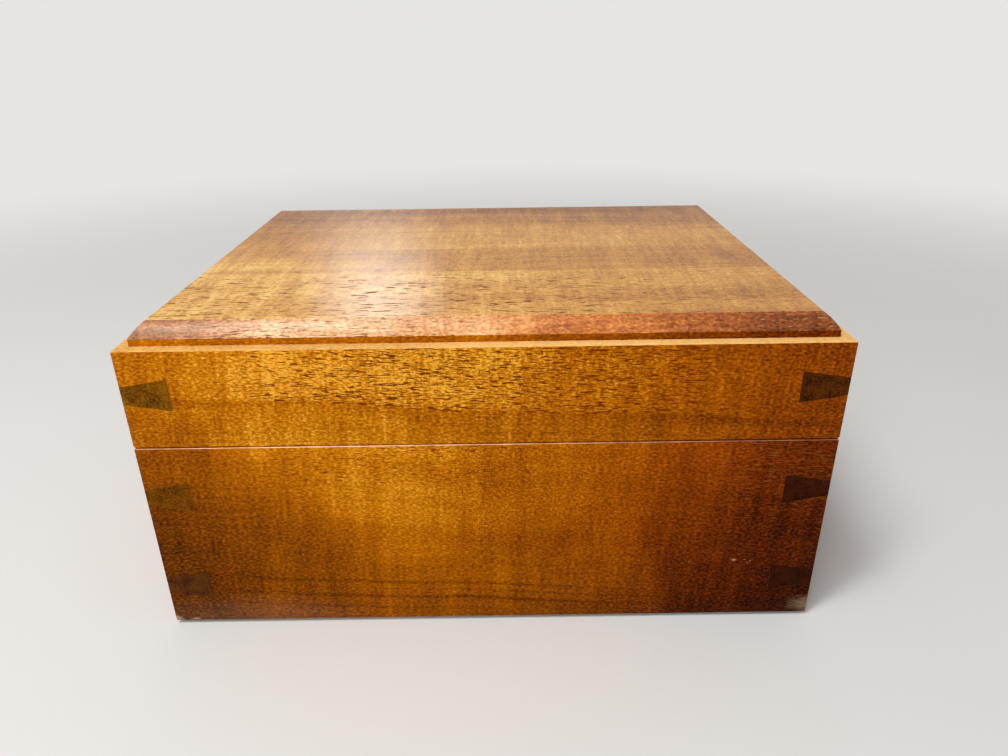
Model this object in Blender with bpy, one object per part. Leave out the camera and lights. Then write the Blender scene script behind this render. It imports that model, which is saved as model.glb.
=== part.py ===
"""Desktop humidor: a mitred, cedar-lined hardwood box with dovetail keys across its corners and a hinged lid.

Metres, +Z up. The origin is the middle of the felt's underside, the front faces -Y and the hinges are at +Y.
"""

from math import atan2, cos, pi, radians, sin, sqrt, tan

import bmesh
import bpy
from mathutils import Vector

# Box, outside
BOX_WIDTH = 0.267
BOX_DEPTH = 0.208
BASE_HEIGHT = 0.08365            # base walls, up to the saw cut
LID_HEIGHT = 0.0394              # lid walls, from the saw cut to the rim
SEAM_GAP = 0.0004                # what the saw and the sanding took between base and lid
WALL = 0.019
GLUE_GAP = 0.0003                # left between pieces that are glued or laid together

# Underside
FELT_THICKNESS = 0.0012
FELT_INSET = 0.004
FLOOR_THICKNESS = 0.006
FLOOR_TONGUE = 0.008             # how far the floor reaches under the walls, in their rebate

# Raised panel of the lid
PANEL_INSET = 0.00477            # rim that shows around the panel
PANEL_SEAT = 0.006               # depth of the rebate that the panel lies in
PANEL_EDGE = 0.0026              # upright edge above the rim
PANEL_BEVEL_RUN = 0.00535
PANEL_BEVEL_RISE = 0.0055
PANEL_BEVEL_BULGE = 0.0004       # how far the bevel swells out of a straight line
PANEL_BEVEL_STEPS = 4

# Dovetail keys across the mitres
KEY_NARROW = 0.0069              # at the corner's edge
KEY_WIDE = 0.0127                # at the bottom of its slot
KEY_DEPTH = 0.0127               # along the corner's diagonal
LOWER_KEY_HEIGHT = 0.0189        # middle of the key, above the base walls' lower edge
UPPER_KEY_DROP = 0.0219          # below the base's rim
LID_KEY_HEIGHT = 0.0217          # above the lid's lower edge

# Cedar lining
LINER_THICKNESS = 0.006
LINER_FLOOR_THICKNESS = 0.005
CEILING_THICKNESS = 0.004
LIP_HEIGHT = 0.0065              # how far the base's lining stands above its rim
LIP_CHAMFER = 0.0015
LIP_CLEARANCE = 0.0008           # below the lid's own lining

# Divider
DIVIDER_THICKNESS = 0.005
DIVIDER_HEIGHT = 0.045
DIVIDER_FROM_RIGHT = 0.075       # from the right lining to the divider's middle
DIVIDER_CLEARANCE = 0.0004

# Hinges, sunk in the back rims; the back edges are bevelled and stop the open lid
LID_OPEN_ANGLE = 95.0
BACK_BEVEL = 0.006               # from the back face to the hinge axis
HINGE_INSET = 0.055              # from the box's side to the hinge's middle
HINGE_LENGTH = 0.040
LEAF_REACH = 0.0115              # from the hinge axis to the leaf's front edge
LEAF_THICKNESS = 0.0018
BARREL_RADIUS = 0.0027
BARREL_CLEARANCE = 0.0003
PIN_RADIUS = 0.0012
PIN_CLEARANCE = 0.0001
KNUCKLES = 5
KNUCKLE_GAP = 0.0003
KNUCKLE_SHOULDER = 0.0003        # at each end of a knuckle, past the tongue that joins it to its leaf

# Screws of the hinges
SCREW_SPACING = 0.026
SCREW_LENGTH = 0.0095
SCREW_HEAD_RADIUS = 0.0017
SCREW_HEAD_HEIGHT = 0.0011
SCREW_SHANK_RADIUS = 0.0008
SCREW_TIP = 0.0016
SCREW_CLEARANCE = 0.0002
SCREW_SLOT_WIDTH = 0.0005
SCREW_SLOT_DEPTH = 0.0004

# Humidifier, held under the lid by a magnet strip on a steel strip
HUMIDIFIER_LENGTH = 0.104
HUMIDIFIER_WIDTH = 0.056
HUMIDIFIER_HEIGHT = 0.0175
HUMIDIFIER_ROUNDING = 0.003
CASE_WALL = 0.002
CASE_BACK = 0.004
MAGNET_LENGTH = 0.060
MAGNET_WIDTH = 0.012
MAGNET_THICKNESS = 0.002
PLATE_THICKNESS = 0.0008
PLATE_MARGIN = 0.004             # how far the steel strip reaches past the magnet strip
GRILLE_THICKNESS = 0.002
GRILLE_LEDGE = 0.0012            # shoulder in the case that the grille lies against
GRILLE_SLOT_WIDTH = 0.003
GRILLE_SLOT_PITCH = 0.0066
GRILLE_MARGIN = 0.007
GRILLE_BRIDGE = 0.005            # bar between the two rows of slots

# Hygrometer, a round dial held under the lid by a disc magnet
HYGROMETER_RADIUS = 0.0215
HYGROMETER_HEIGHT = 0.0105
CAN_WALL = 0.001
CAN_BACK = 0.0042
DISC_MAGNET_RADIUS = 0.008
DISC_MAGNET_THICKNESS = 0.0015
BEZEL_OVERHANG = 0.0016          # outside the can
BEZEL_SKIRT = 0.004
BEZEL_FACE = 0.0011
BEZEL_LAP = 0.0024               # how far the bezel covers the lens
LENS_THICKNESS = 0.0012
DIAL_THICKNESS = 0.0006
NEEDLE_LENGTH = 0.0150
NEEDLE_TAIL = 0.0045
NEEDLE_HALF_WIDTH = 0.0008
NEEDLE_THICKNESS = 0.0005
NEEDLE_HUB_RADIUS = 0.0018
NEEDLE_HUB_HEIGHT = 0.0012
NEEDLE_LIFT = 0.0006             # hand above the dial
ARBOR_RADIUS = 0.0006
ARBOR_LENGTH = 0.0030            # into the can's back
ARBOR_CLEARANCE = 0.0002
DIAL_SWEEP = 270.0               # from 0 to 100 percent
DIAL_READING = 70.0              # percent shown at rest

# Facets
PIN_SIDES = 16
BARREL_SIDES = 20
SCREW_SIDES = 12
CAN_SIDES = 40

# Cutting tools reach this far past what they cut
OVERCUT = 0.003

# Levels
WALL_BOTTOM = FELT_THICKNESS + GLUE_GAP
BASE_RIM = WALL_BOTTOM + BASE_HEIGHT
LID_BOTTOM = BASE_RIM + SEAM_GAP
LID_RIM = LID_BOTTOM + LID_HEIGHT
FLOOR_TOP = WALL_BOTTOM + FLOOR_THICKNESS
LINER_FLOOR_TOP = FLOOR_TOP + GLUE_GAP + LINER_FLOOR_THICKNESS
LINER_BOTTOM = LINER_FLOOR_TOP + GLUE_GAP
LIP_TOP = BASE_RIM + LIP_HEIGHT
CEILING_TOP = LID_RIM - PANEL_SEAT
CEILING_BOTTOM = CEILING_TOP - CEILING_THICKNESS
LID_LINER_BOTTOM = LIP_TOP + LIP_CLEARANCE
LID_LINER_TOP = CEILING_BOTTOM - GLUE_GAP

# Inner half sizes, of the walls and of the lining
WALL_HALF_X = BOX_WIDTH / 2 - WALL
WALL_HALF_Y = BOX_DEPTH / 2 - WALL
LINER_HALF_X = WALL_HALF_X - GLUE_GAP - LINER_THICKNESS
LINER_HALF_Y = WALL_HALF_Y - GLUE_GAP - LINER_THICKNESS

# Clear space beside the hygrometer and the humidifier under the lid, the same at both ends and between them
BEZEL_RADIUS = HYGROMETER_RADIUS + BEZEL_OVERHANG
LID_SPACE = (2 * LINER_HALF_X - HUMIDIFIER_LENGTH - 2 * BEZEL_RADIUS) / 3

# Hinge axis
AXIS_Y = BOX_DEPTH / 2 - BACK_BEVEL
AXIS_Z = BASE_RIM + SEAM_GAP / 2

# Four sides of a box: name, outward direction, turn of a board whose outer face looks along -Y
SIDES = (("front", (0, -1), 0.0), ("right", (1, 0), pi / 2), ("back", (0, 1), pi), ("left", (-1, 0), -pi / 2))


def clear_scene():
    for item in list(bpy.data.objects):
        bpy.data.objects.remove(item, do_unlink=True)


def finish(name, colour, roughness, metallic=0.0, alpha=1.0):
    """A plain surface finish; the colour is linear RGB."""
    material = bpy.data.materials.new(name)
    material.use_nodes = True
    shader = material.node_tree.nodes["Principled BSDF"]
    shader.inputs["Base Color"].default_value = (*colour, 1.0)
    shader.inputs["Roughness"].default_value = roughness
    shader.inputs["Metallic"].default_value = metallic
    shader.inputs["Alpha"].default_value = alpha
    return material


def to_mesh(shape, name):
    """Close a bmesh into a mesh whose faces point out."""
    bmesh.ops.recalc_face_normals(shape, faces=shape.faces)
    mesh = bpy.data.meshes.new(name)
    shape.to_mesh(mesh)
    shape.free()
    return mesh


def prism(outline, low, high, axis="x"):
    """A flat outline, in the two other axes in order, drawn out along one axis."""
    order = {"x": (2, 0, 1), "y": (0, 2, 1), "z": (0, 1, 2)}[axis]
    shape = bmesh.new()
    corners = []
    for first, second in outline:
        point = (first, second, low)
        corners.append(shape.verts.new([point[index] for index in order]))
    face = shape.faces.new(corners)
    drawn = bmesh.ops.extrude_face_region(shape, geom=[face])
    shift = (0.0, 0.0, high - low)
    moved = [item for item in drawn["geom"] if isinstance(item, bmesh.types.BMVert)]
    bmesh.ops.translate(shape, verts=moved, vec=[shift[index] for index in order])
    return shape


def block(size_x, size_y, low, high):
    """A rectangular block centred on the Z axis."""
    half_x, half_y = size_x / 2, size_y / 2
    return prism([(-half_x, -half_y), (half_x, -half_y), (half_x, half_y), (-half_x, half_y)], low, high, "z")


def circle(radius, sides):
    turns = [2 * pi * step / sides for step in range(sides)]
    return [(radius * cos(turn), radius * sin(turn)) for turn in turns]


def turned(outline, sides, ring=False):
    """An outline of radii and heights spun about Z; a ring's outline closes on itself off the axis."""
    shape = bmesh.new()
    points = [shape.verts.new((radius, 0.0, height)) for radius, height in outline]
    chain = points + points[:1] if ring else points
    edges = [shape.edges.new(pair) for pair in zip(chain, chain[1:])]
    bmesh.ops.spin(
        shape, geom=points + edges, cent=(0, 0, 0), axis=(0, 0, 1), angle=2 * pi, steps=sides, use_merge=True
    )
    bmesh.ops.remove_doubles(shape, verts=shape.verts, dist=1e-6)
    return shape


def mitred_board(outline, length):
    """A board along X with its outer face at y = 0 and 45 degree mitres that leave half a glue gap each."""
    shape = prism(outline, -length / 2, length / 2, "x")
    for vertex in shape.verts:
        inward = vertex.co.y + GLUE_GAP / sqrt(2)
        vertex.co.x -= inward if vertex.co.x > 0 else -inward
    return shape


def world_place(item):
    return item.location + world_place(item.parent) if item.parent else item.location.copy()


def pivot(name, at, parent=None):
    """An empty on a joint's axis, which carries what moves there."""
    empty = bpy.data.objects.new(name, None)
    empty.location = Vector(at) - (world_place(parent) if parent else Vector())
    empty.parent = parent
    bpy.context.scene.collection.objects.link(empty)
    return empty


def piece(name, shape, material, at=(0, 0, 0), turn=0.0, parent=None, smooth=False):
    """A named object at a place in the world, carried by its parent."""
    mesh = shape if isinstance(shape, bpy.types.Mesh) else to_mesh(shape, name)
    if smooth:
        mesh.shade_smooth()
        mesh.set_sharp_from_angle(angle=radians(30))
    item = bpy.data.objects.new(name, mesh)
    item.location = Vector(at) - (world_place(parent) if parent else Vector())
    item.rotation_euler.z = turn
    item.parent = parent
    if material and not mesh.materials:
        mesh.materials.append(material)
    bpy.context.scene.collection.objects.link(item)
    return item


def tool(name, shape, at=(0, 0, 0), turn=0.0, parent=None):
    """A shape that only cuts or joins, and isn't a piece of the box."""
    item = piece(name, shape, None, at, turn, parent)
    item.hide_render = True
    item.display_type = "WIRE"
    return item


def boolean(item, other, operation="DIFFERENCE"):
    modifier = item.modifiers.new(other.name, "BOOLEAN")
    modifier.solver = "EXACT"
    modifier.operation = operation
    modifier.object = other


def side_place(direction, half_x, half_y, height):
    return (direction[0] * half_x, direction[1] * half_y, height)


def build_walls(prefix, outline, height, material, parent):
    """Four mitred boards around the box."""
    walls = {}
    for side, direction, turn in SIDES:
        length = BOX_WIDTH if direction[0] == 0 else BOX_DEPTH
        place = side_place(direction, BOX_WIDTH / 2, BOX_DEPTH / 2, height)
        walls[side] = piece(f"{prefix}_{side}", mitred_board(outline, length), material, place, turn, parent)
    return walls


def build_key(prefix, suffix, height, walls, material, parent):
    """One dovetail key and its slot in each of the four corners, at one height."""
    flank = (KEY_WIDE - KEY_NARROW) / 2 / KEY_DEPTH
    slot_depth = KEY_DEPTH + GLUE_GAP
    outer_half = KEY_NARROW / 2 + GLUE_GAP - OVERCUT * flank
    inner_half = KEY_WIDE / 2 + GLUE_GAP + GLUE_GAP * flank
    for face, along_y in (("front", -1), ("back", 1)):
        for side, along_x in (("left", -1), ("right", 1)):
            name = f"{prefix}_key_{face}_{side}{suffix}"
            corner = (along_x * BOX_WIDTH / 2, along_y * BOX_DEPTH / 2, height)
            turn = atan2(-along_y, -along_x)
            triangle = [(0, 0), (KEY_DEPTH, -KEY_DEPTH), (KEY_DEPTH, KEY_DEPTH)]
            wedge = prism(triangle, -KEY_WIDE / 2, KEY_WIDE / 2, "z")
            for vertex in wedge.verts:
                if vertex.co.x < KEY_DEPTH / 2:
                    vertex.co.z *= KEY_NARROW / KEY_WIDE
            piece(name, wedge, material, corner, turn, parent)
            dovetail = [
                (-OVERCUT, -outer_half),
                (slot_depth, -inner_half),
                (slot_depth, inner_half),
                (-OVERCUT, outer_half),
            ]
            reach = KEY_DEPTH + OVERCUT
            slot = tool(f"{name}_slot", prism(dovetail, -reach, reach, "y"), corner, turn, parent)
            boolean(walls[face], slot)
            boolean(walls[side], slot)


def bevel_back(walls, rim, direction, name, parent):
    """Plane off the back edge at the saw cut, where the open lid stops; direction points off the wood."""
    slope = tan(radians(LID_OPEN_ANGLE / 2)) * direction
    back = BOX_DEPTH / 2 + OVERCUT
    front = AXIS_Y - OVERCUT
    outline = [
        (front, rim + OVERCUT * slope),
        (back, rim - (BACK_BEVEL + OVERCUT) * slope),
        (back, rim + OVERCUT * slope),
    ]
    reach = BOX_WIDTH / 2 + OVERCUT
    wedge = tool(name, prism(outline, -reach, reach, "x"), parent=parent)
    for side in ("back", "left", "right"):
        boolean(walls[side], wedge)


def build_lining(prefix, outline, height, material, parent):
    """Front and back boards run the full width, and the side boards stand between them."""
    for side, direction, turn in SIDES:
        if direction[0] == 0:
            half = WALL_HALF_X - GLUE_GAP
        else:
            half = LINER_HALF_Y - GLUE_GAP
        place = side_place(direction, WALL_HALF_X - GLUE_GAP, WALL_HALF_Y - GLUE_GAP, height)
        piece(f"{prefix}_liner_{side}", prism(outline, -half, half, "x"), material, place, turn, parent)


def knuckle_span(index):
    """Where one knuckle starts and ends along the hinge."""
    length = HINGE_LENGTH / KNUCKLES
    low = -HINGE_LENGTH / 2 + index * length
    high = low + length
    low += KNUCKLE_GAP / 2 if index > 0 else 0.0
    high -= KNUCKLE_GAP / 2 if index < KNUCKLES - 1 else 0.0
    return low, high


def leaf_outline(own):
    """A leaf from above: a plate that stops short of the barrel, with a tongue to each of its knuckles."""
    edge = -(BARREL_RADIUS + BARREL_CLEARANCE)
    half = HINGE_LENGTH / 2
    points = [(-half, edge), (-half, -LEAF_REACH), (half, -LEAF_REACH), (half, edge)]
    for index in reversed(own):
        low, high = knuckle_span(index)
        left = low + KNUCKLE_SHOULDER
        right = high - KNUCKLE_SHOULDER
        points += [(right, edge), (right, 0.0), (left, 0.0), (left, edge)]
    return points


def build_leaf(name, centre, own, direction, wall, finishes, parent):
    """One hinge leaf with its knuckles, its mortise in the wall, and its two screws.

    direction is -1 for the base's leaf, below the saw cut, and 1 for the lid's, above it.
    """
    brass, screw_brass = finishes
    rim = direction * SEAM_GAP / 2
    deep = rim + direction * LEAF_THICKNESS
    plate = prism(leaf_outline(own), min(rim, deep), max(rim, deep), "z")
    leaf = piece(name, plate, brass, centre, 0.0, parent)
    for index in own:
        low, high = knuckle_span(index)
        barrel = prism(circle(BARREL_RADIUS, BARREL_SIDES), low, high, "x")
        boolean(leaf, tool(f"{name}_knuckle_{index}", barrel, centre, 0.0, parent), "UNION")
    reach = HINGE_LENGTH / 2 + OVERCUT
    bore = prism(circle(PIN_RADIUS + PIN_CLEARANCE, PIN_SIDES), -reach, reach, "x")
    boolean(leaf, tool(f"{name}_bore", bore, centre, 0.0, parent))

    room = BARREL_RADIUS + BARREL_CLEARANCE
    open_back = BACK_BEVEL + OVERCUT
    mortise = [
        (-LEAF_REACH - GLUE_GAP, -direction * OVERCUT),
        (-LEAF_REACH - GLUE_GAP, deep + direction * GLUE_GAP),
        (-room, deep + direction * GLUE_GAP),
        (-room, direction * room),
        (open_back, direction * room),
        (open_back, -direction * OVERCUT),
    ]
    half = HINGE_LENGTH / 2 + GLUE_GAP
    boolean(wall, tool(f"{name}_mortise", prism(mortise, -half, half, "x"), centre, 0.0, parent))

    screw_y = -(LEAF_REACH + room) / 2
    for number, offset in enumerate((-SCREW_SPACING / 2, SCREW_SPACING / 2), start=1):
        place = Vector(centre) + Vector((offset, screw_y, rim))
        screw_name = f"{name.removesuffix('_leaf')}_screw_{number}"
        build_screw(screw_name, place, direction, leaf, wall, screw_brass, parent)


def build_screw(name, place, direction, leaf, wall, material, parent):
    """A countersunk, slotted wood screw, flush with its leaf, driven along direction."""
    screw = [
        (0.0, 0.0),
        (SCREW_HEAD_RADIUS, 0.0),
        (SCREW_SHANK_RADIUS, direction * SCREW_HEAD_HEIGHT),
        (SCREW_SHANK_RADIUS, direction * (SCREW_LENGTH - SCREW_TIP)),
        (0.0, direction * SCREW_LENGTH),
    ]
    item = piece(name, turned(screw, SCREW_SIDES), material, place, 0.0, parent, smooth=True)
    slot_ends = sorted((-direction * OVERCUT, direction * SCREW_SLOT_DEPTH))
    slot = block(2 * (SCREW_HEAD_RADIUS + OVERCUT), SCREW_SLOT_WIDTH, *slot_ends)
    boolean(item, tool(f"{name}_slot", slot, place, 0.0, parent))

    head = SCREW_HEAD_RADIUS + SCREW_CLEARANCE
    shank = SCREW_SHANK_RADIUS + SCREW_CLEARANCE
    hole = [
        (0.0, -direction * OVERCUT),
        (head, -direction * OVERCUT),
        (head, 0.0),
        (shank, direction * SCREW_HEAD_HEIGHT),
        (shank, direction * (SCREW_LENGTH + GLUE_GAP)),
        (0.0, direction * (SCREW_LENGTH + GLUE_GAP)),
    ]
    drilled = tool(f"{name}_hole", turned(hole, SCREW_SIDES), place, 0.0, parent)
    boolean(leaf, drilled)
    boolean(wall, drilled)


def build_hinges(base_walls, lid_walls, finishes, lid):
    """Two butt hinges, each with a base leaf, a lid leaf and the pin that joins them."""
    for side, along_x in (("left", -1), ("right", 1)):
        centre = (along_x * (BOX_WIDTH / 2 - HINGE_INSET), AXIS_Y, AXIS_Z)
        lower = range(0, KNUCKLES, 2)
        upper = range(1, KNUCKLES, 2)
        build_leaf(f"hinge_{side}_base_leaf", centre, lower, -1, base_walls["back"], finishes, None)
        build_leaf(f"hinge_{side}_lid_leaf", centre, upper, 1, lid_walls["back"], finishes, lid)
        pin = prism(circle(PIN_RADIUS, PIN_SIDES), -HINGE_LENGTH / 2, HINGE_LENGTH / 2, "x")
        piece(f"hinge_{side}_pin", pin, finishes[1], centre, smooth=True)


def build_base(koa, walnut, cedar, felt):
    seat = FLOOR_THICKNESS + GLUE_GAP
    outline = [
        (0, 0),
        (WALL - FLOOR_TONGUE, 0),
        (WALL - FLOOR_TONGUE, seat),
        (WALL, seat),
        (WALL, BASE_HEIGHT),
        (0, BASE_HEIGHT),
    ]
    walls = build_walls("base", outline, WALL_BOTTOM, koa, None)
    build_key("base", "_lower", WALL_BOTTOM + LOWER_KEY_HEIGHT, walls, walnut, None)
    build_key("base", "_upper", BASE_RIM - UPPER_KEY_DROP, walls, walnut, None)
    bevel_back(walls, BASE_RIM, 1, "base_back_bevel", None)

    reach = FLOOR_TONGUE - GLUE_GAP
    floor = block(2 * (WALL_HALF_X + reach), 2 * (WALL_HALF_Y + reach), WALL_BOTTOM, FLOOR_TOP)
    piece("base_floor", floor, koa)
    felt_sheet = block(BOX_WIDTH - 2 * FELT_INSET, BOX_DEPTH - 2 * FELT_INSET, 0.0, FELT_THICKNESS)
    piece("base_felt", felt_sheet, felt)

    inner = block(
        2 * (WALL_HALF_X - GLUE_GAP), 2 * (WALL_HALF_Y - GLUE_GAP), FLOOR_TOP + GLUE_GAP, LINER_FLOOR_TOP
    )
    piece("base_liner_floor", inner, cedar)
    tall = LIP_TOP - LINER_BOTTOM
    board = [
        (0, 0),
        (LINER_THICKNESS, 0),
        (LINER_THICKNESS, tall),
        (LIP_CHAMFER, tall),
        (0, tall - LIP_CHAMFER),
    ]
    build_lining("base", board, LINER_BOTTOM, cedar, None)
    return walls


def build_divider(cedar):
    """A loose cedar board across the box, which slides along the lining."""
    length = 2 * (LINER_HALF_Y - DIVIDER_CLEARANCE)
    board = block(DIVIDER_THICKNESS, length, 0.0, DIVIDER_HEIGHT)
    place = (LINER_HALF_X - DIVIDER_FROM_RIGHT, 0.0, LINER_FLOOR_TOP + GLUE_GAP)
    piece("divider", board, cedar, place)


def build_panel(material, lid):
    """The lid's panel: a slab in the rebate, an upright edge, then a swelling bevel up to the flat top."""
    half_x = BOX_WIDTH / 2 - PANEL_INSET
    half_y = BOX_DEPTH / 2 - PANEL_INSET
    bottom = CEILING_TOP + GLUE_GAP
    edge_top = LID_RIM + PANEL_EDGE
    slab = block(2 * half_x, 2 * half_y, bottom, edge_top)
    top = max(slab.faces, key=lambda face: face.calc_center_median().z)
    slant = sqrt(PANEL_BEVEL_RUN ** 2 + PANEL_BEVEL_RISE ** 2)
    for step in range(1, PANEL_BEVEL_STEPS + 1):
        share = step / PANEL_BEVEL_STEPS
        swell = PANEL_BEVEL_BULGE * 4 * share * (1 - share)
        inset = PANEL_BEVEL_RUN * share - swell * PANEL_BEVEL_RISE / slant
        height = PANEL_BEVEL_RISE * share + swell * PANEL_BEVEL_RUN / slant
        drawn = bmesh.ops.extrude_face_region(slab, geom=[top])
        bmesh.ops.delete(slab, geom=[top], context="FACES_ONLY")
        top = next(item for item in drawn["geom"] if isinstance(item, bmesh.types.BMFace))
        for vertex in top.verts:
            vertex.co.x = (half_x - inset) * (1 if vertex.co.x > 0 else -1)
            vertex.co.y = (half_y - inset) * (1 if vertex.co.y > 0 else -1)
            vertex.co.z = edge_top + height
    piece("lid_panel", slab, material, parent=lid)


def build_lid(koa, walnut, cedar, lid):
    lip = PANEL_INSET - GLUE_GAP
    ledge = LID_HEIGHT - PANEL_SEAT
    outline = [(0, 0), (WALL, 0), (WALL, ledge), (lip, ledge), (lip, LID_HEIGHT), (0, LID_HEIGHT)]
    walls = build_walls("lid", outline, LID_BOTTOM, koa, lid)
    build_key("lid", "", LID_BOTTOM + LID_KEY_HEIGHT, walls, walnut, lid)
    bevel_back(walls, LID_BOTTOM, -1, "lid_back_bevel", lid)
    build_panel(koa, lid)

    ceiling = block(2 * (WALL_HALF_X - GLUE_GAP), 2 * (WALL_HALF_Y - GLUE_GAP), CEILING_BOTTOM, CEILING_TOP)
    piece("lid_liner_ceiling", ceiling, cedar, parent=lid)
    tall = LID_LINER_TOP - LID_LINER_BOTTOM
    board = [(0, 0), (LINER_THICKNESS, 0), (LINER_THICKNESS, tall), (0, tall)]
    build_lining("lid", board, LID_LINER_BOTTOM, cedar, lid)
    return walls


def build_humidifier(plastic, foam, magnet, steel, lid):
    """A slotted plastic case around a block of wet foam, pulled down off its steel strip to be filled."""
    centre_x = LINER_HALF_X - LID_SPACE - HUMIDIFIER_LENGTH / 2
    strip_top = CEILING_BOTTOM - GLUE_GAP
    back = strip_top - PLATE_THICKNESS - GLUE_GAP
    seat = pivot("humidifier_seat", (centre_x, 0.0, back), lid)

    strip_length = MAGNET_LENGTH + 2 * PLATE_MARGIN
    strip_width = MAGNET_WIDTH + 2 * PLATE_MARGIN
    strip = block(strip_length, strip_width, strip_top - PLATE_THICKNESS, strip_top)
    piece("humidifier_plate", strip, steel, (centre_x, 0.0, 0.0), parent=lid)

    shell = block(HUMIDIFIER_LENGTH, HUMIDIFIER_WIDTH, -HUMIDIFIER_HEIGHT, 0.0)
    upright = [edge for edge in shell.edges if edge.verts[0].co.xy == edge.verts[1].co.xy]
    bmesh.ops.bevel(
        shell, geom=upright, offset=HUMIDIFIER_ROUNDING, segments=3, profile=0.5, affect="EDGES", material=-1
    )
    place = (centre_x, 0.0, back)
    case = piece("humidifier_case", shell, plastic, place, parent=seat, smooth=True)
    grille_length = HUMIDIFIER_LENGTH - 2 * CASE_WALL
    grille_width = HUMIDIFIER_WIDTH - 2 * CASE_WALL
    shoulder = -HUMIDIFIER_HEIGHT + GRILLE_THICKNESS + GLUE_GAP
    mouth = block(grille_length, grille_width, -HUMIDIFIER_HEIGHT - OVERCUT, shoulder)
    boolean(case, tool("humidifier_mouth", mouth, place, parent=seat))
    room_length = grille_length - 2 * GRILLE_LEDGE
    room_width = grille_width - 2 * GRILLE_LEDGE
    room = block(room_length, room_width, -HUMIDIFIER_HEIGHT, -CASE_BACK)
    boolean(case, tool("humidifier_room", room, place, parent=seat))
    pocket = block(
        MAGNET_LENGTH + 2 * GLUE_GAP, MAGNET_WIDTH + 2 * GLUE_GAP, -MAGNET_THICKNESS - GLUE_GAP, OVERCUT
    )
    boolean(case, tool("humidifier_magnet_pocket", pocket, place, parent=seat))
    strip_magnet = block(MAGNET_LENGTH, MAGNET_WIDTH, -MAGNET_THICKNESS, 0.0)
    piece("humidifier_magnet", strip_magnet, magnet, place, parent=seat)
    wet_foam = block(
        room_length - 2 * GLUE_GAP, room_width - 2 * GLUE_GAP, shoulder + GLUE_GAP, -CASE_BACK - GLUE_GAP
    )
    piece("humidifier_foam", wet_foam, foam, place, parent=seat)

    face = block(
        grille_length - 2 * GLUE_GAP, grille_width - 2 * GLUE_GAP, -HUMIDIFIER_HEIGHT, shoulder - GLUE_GAP
    )
    grille = piece("humidifier_grille", face, plastic, place, parent=seat)
    slot_length = (grille_width - 2 * GRILLE_MARGIN - GRILLE_BRIDGE) / 2
    count = int((grille_length - 2 * GRILLE_MARGIN - GRILLE_SLOT_WIDTH) / GRILLE_SLOT_PITCH) + 1
    for column in range(count):
        slot_x = centre_x + (column - (count - 1) / 2) * GRILLE_SLOT_PITCH
        for row, slot_y in enumerate((-(slot_length + GRILLE_BRIDGE) / 2, (slot_length + GRILLE_BRIDGE) / 2)):
            slot = block(GRILLE_SLOT_WIDTH, slot_length, -HUMIDIFIER_HEIGHT - OVERCUT, shoulder + OVERCUT)
            cutter = tool(f"humidifier_slot_{row}_{column}", slot, (slot_x, slot_y, back), parent=seat)
            boolean(grille, cutter)


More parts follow.
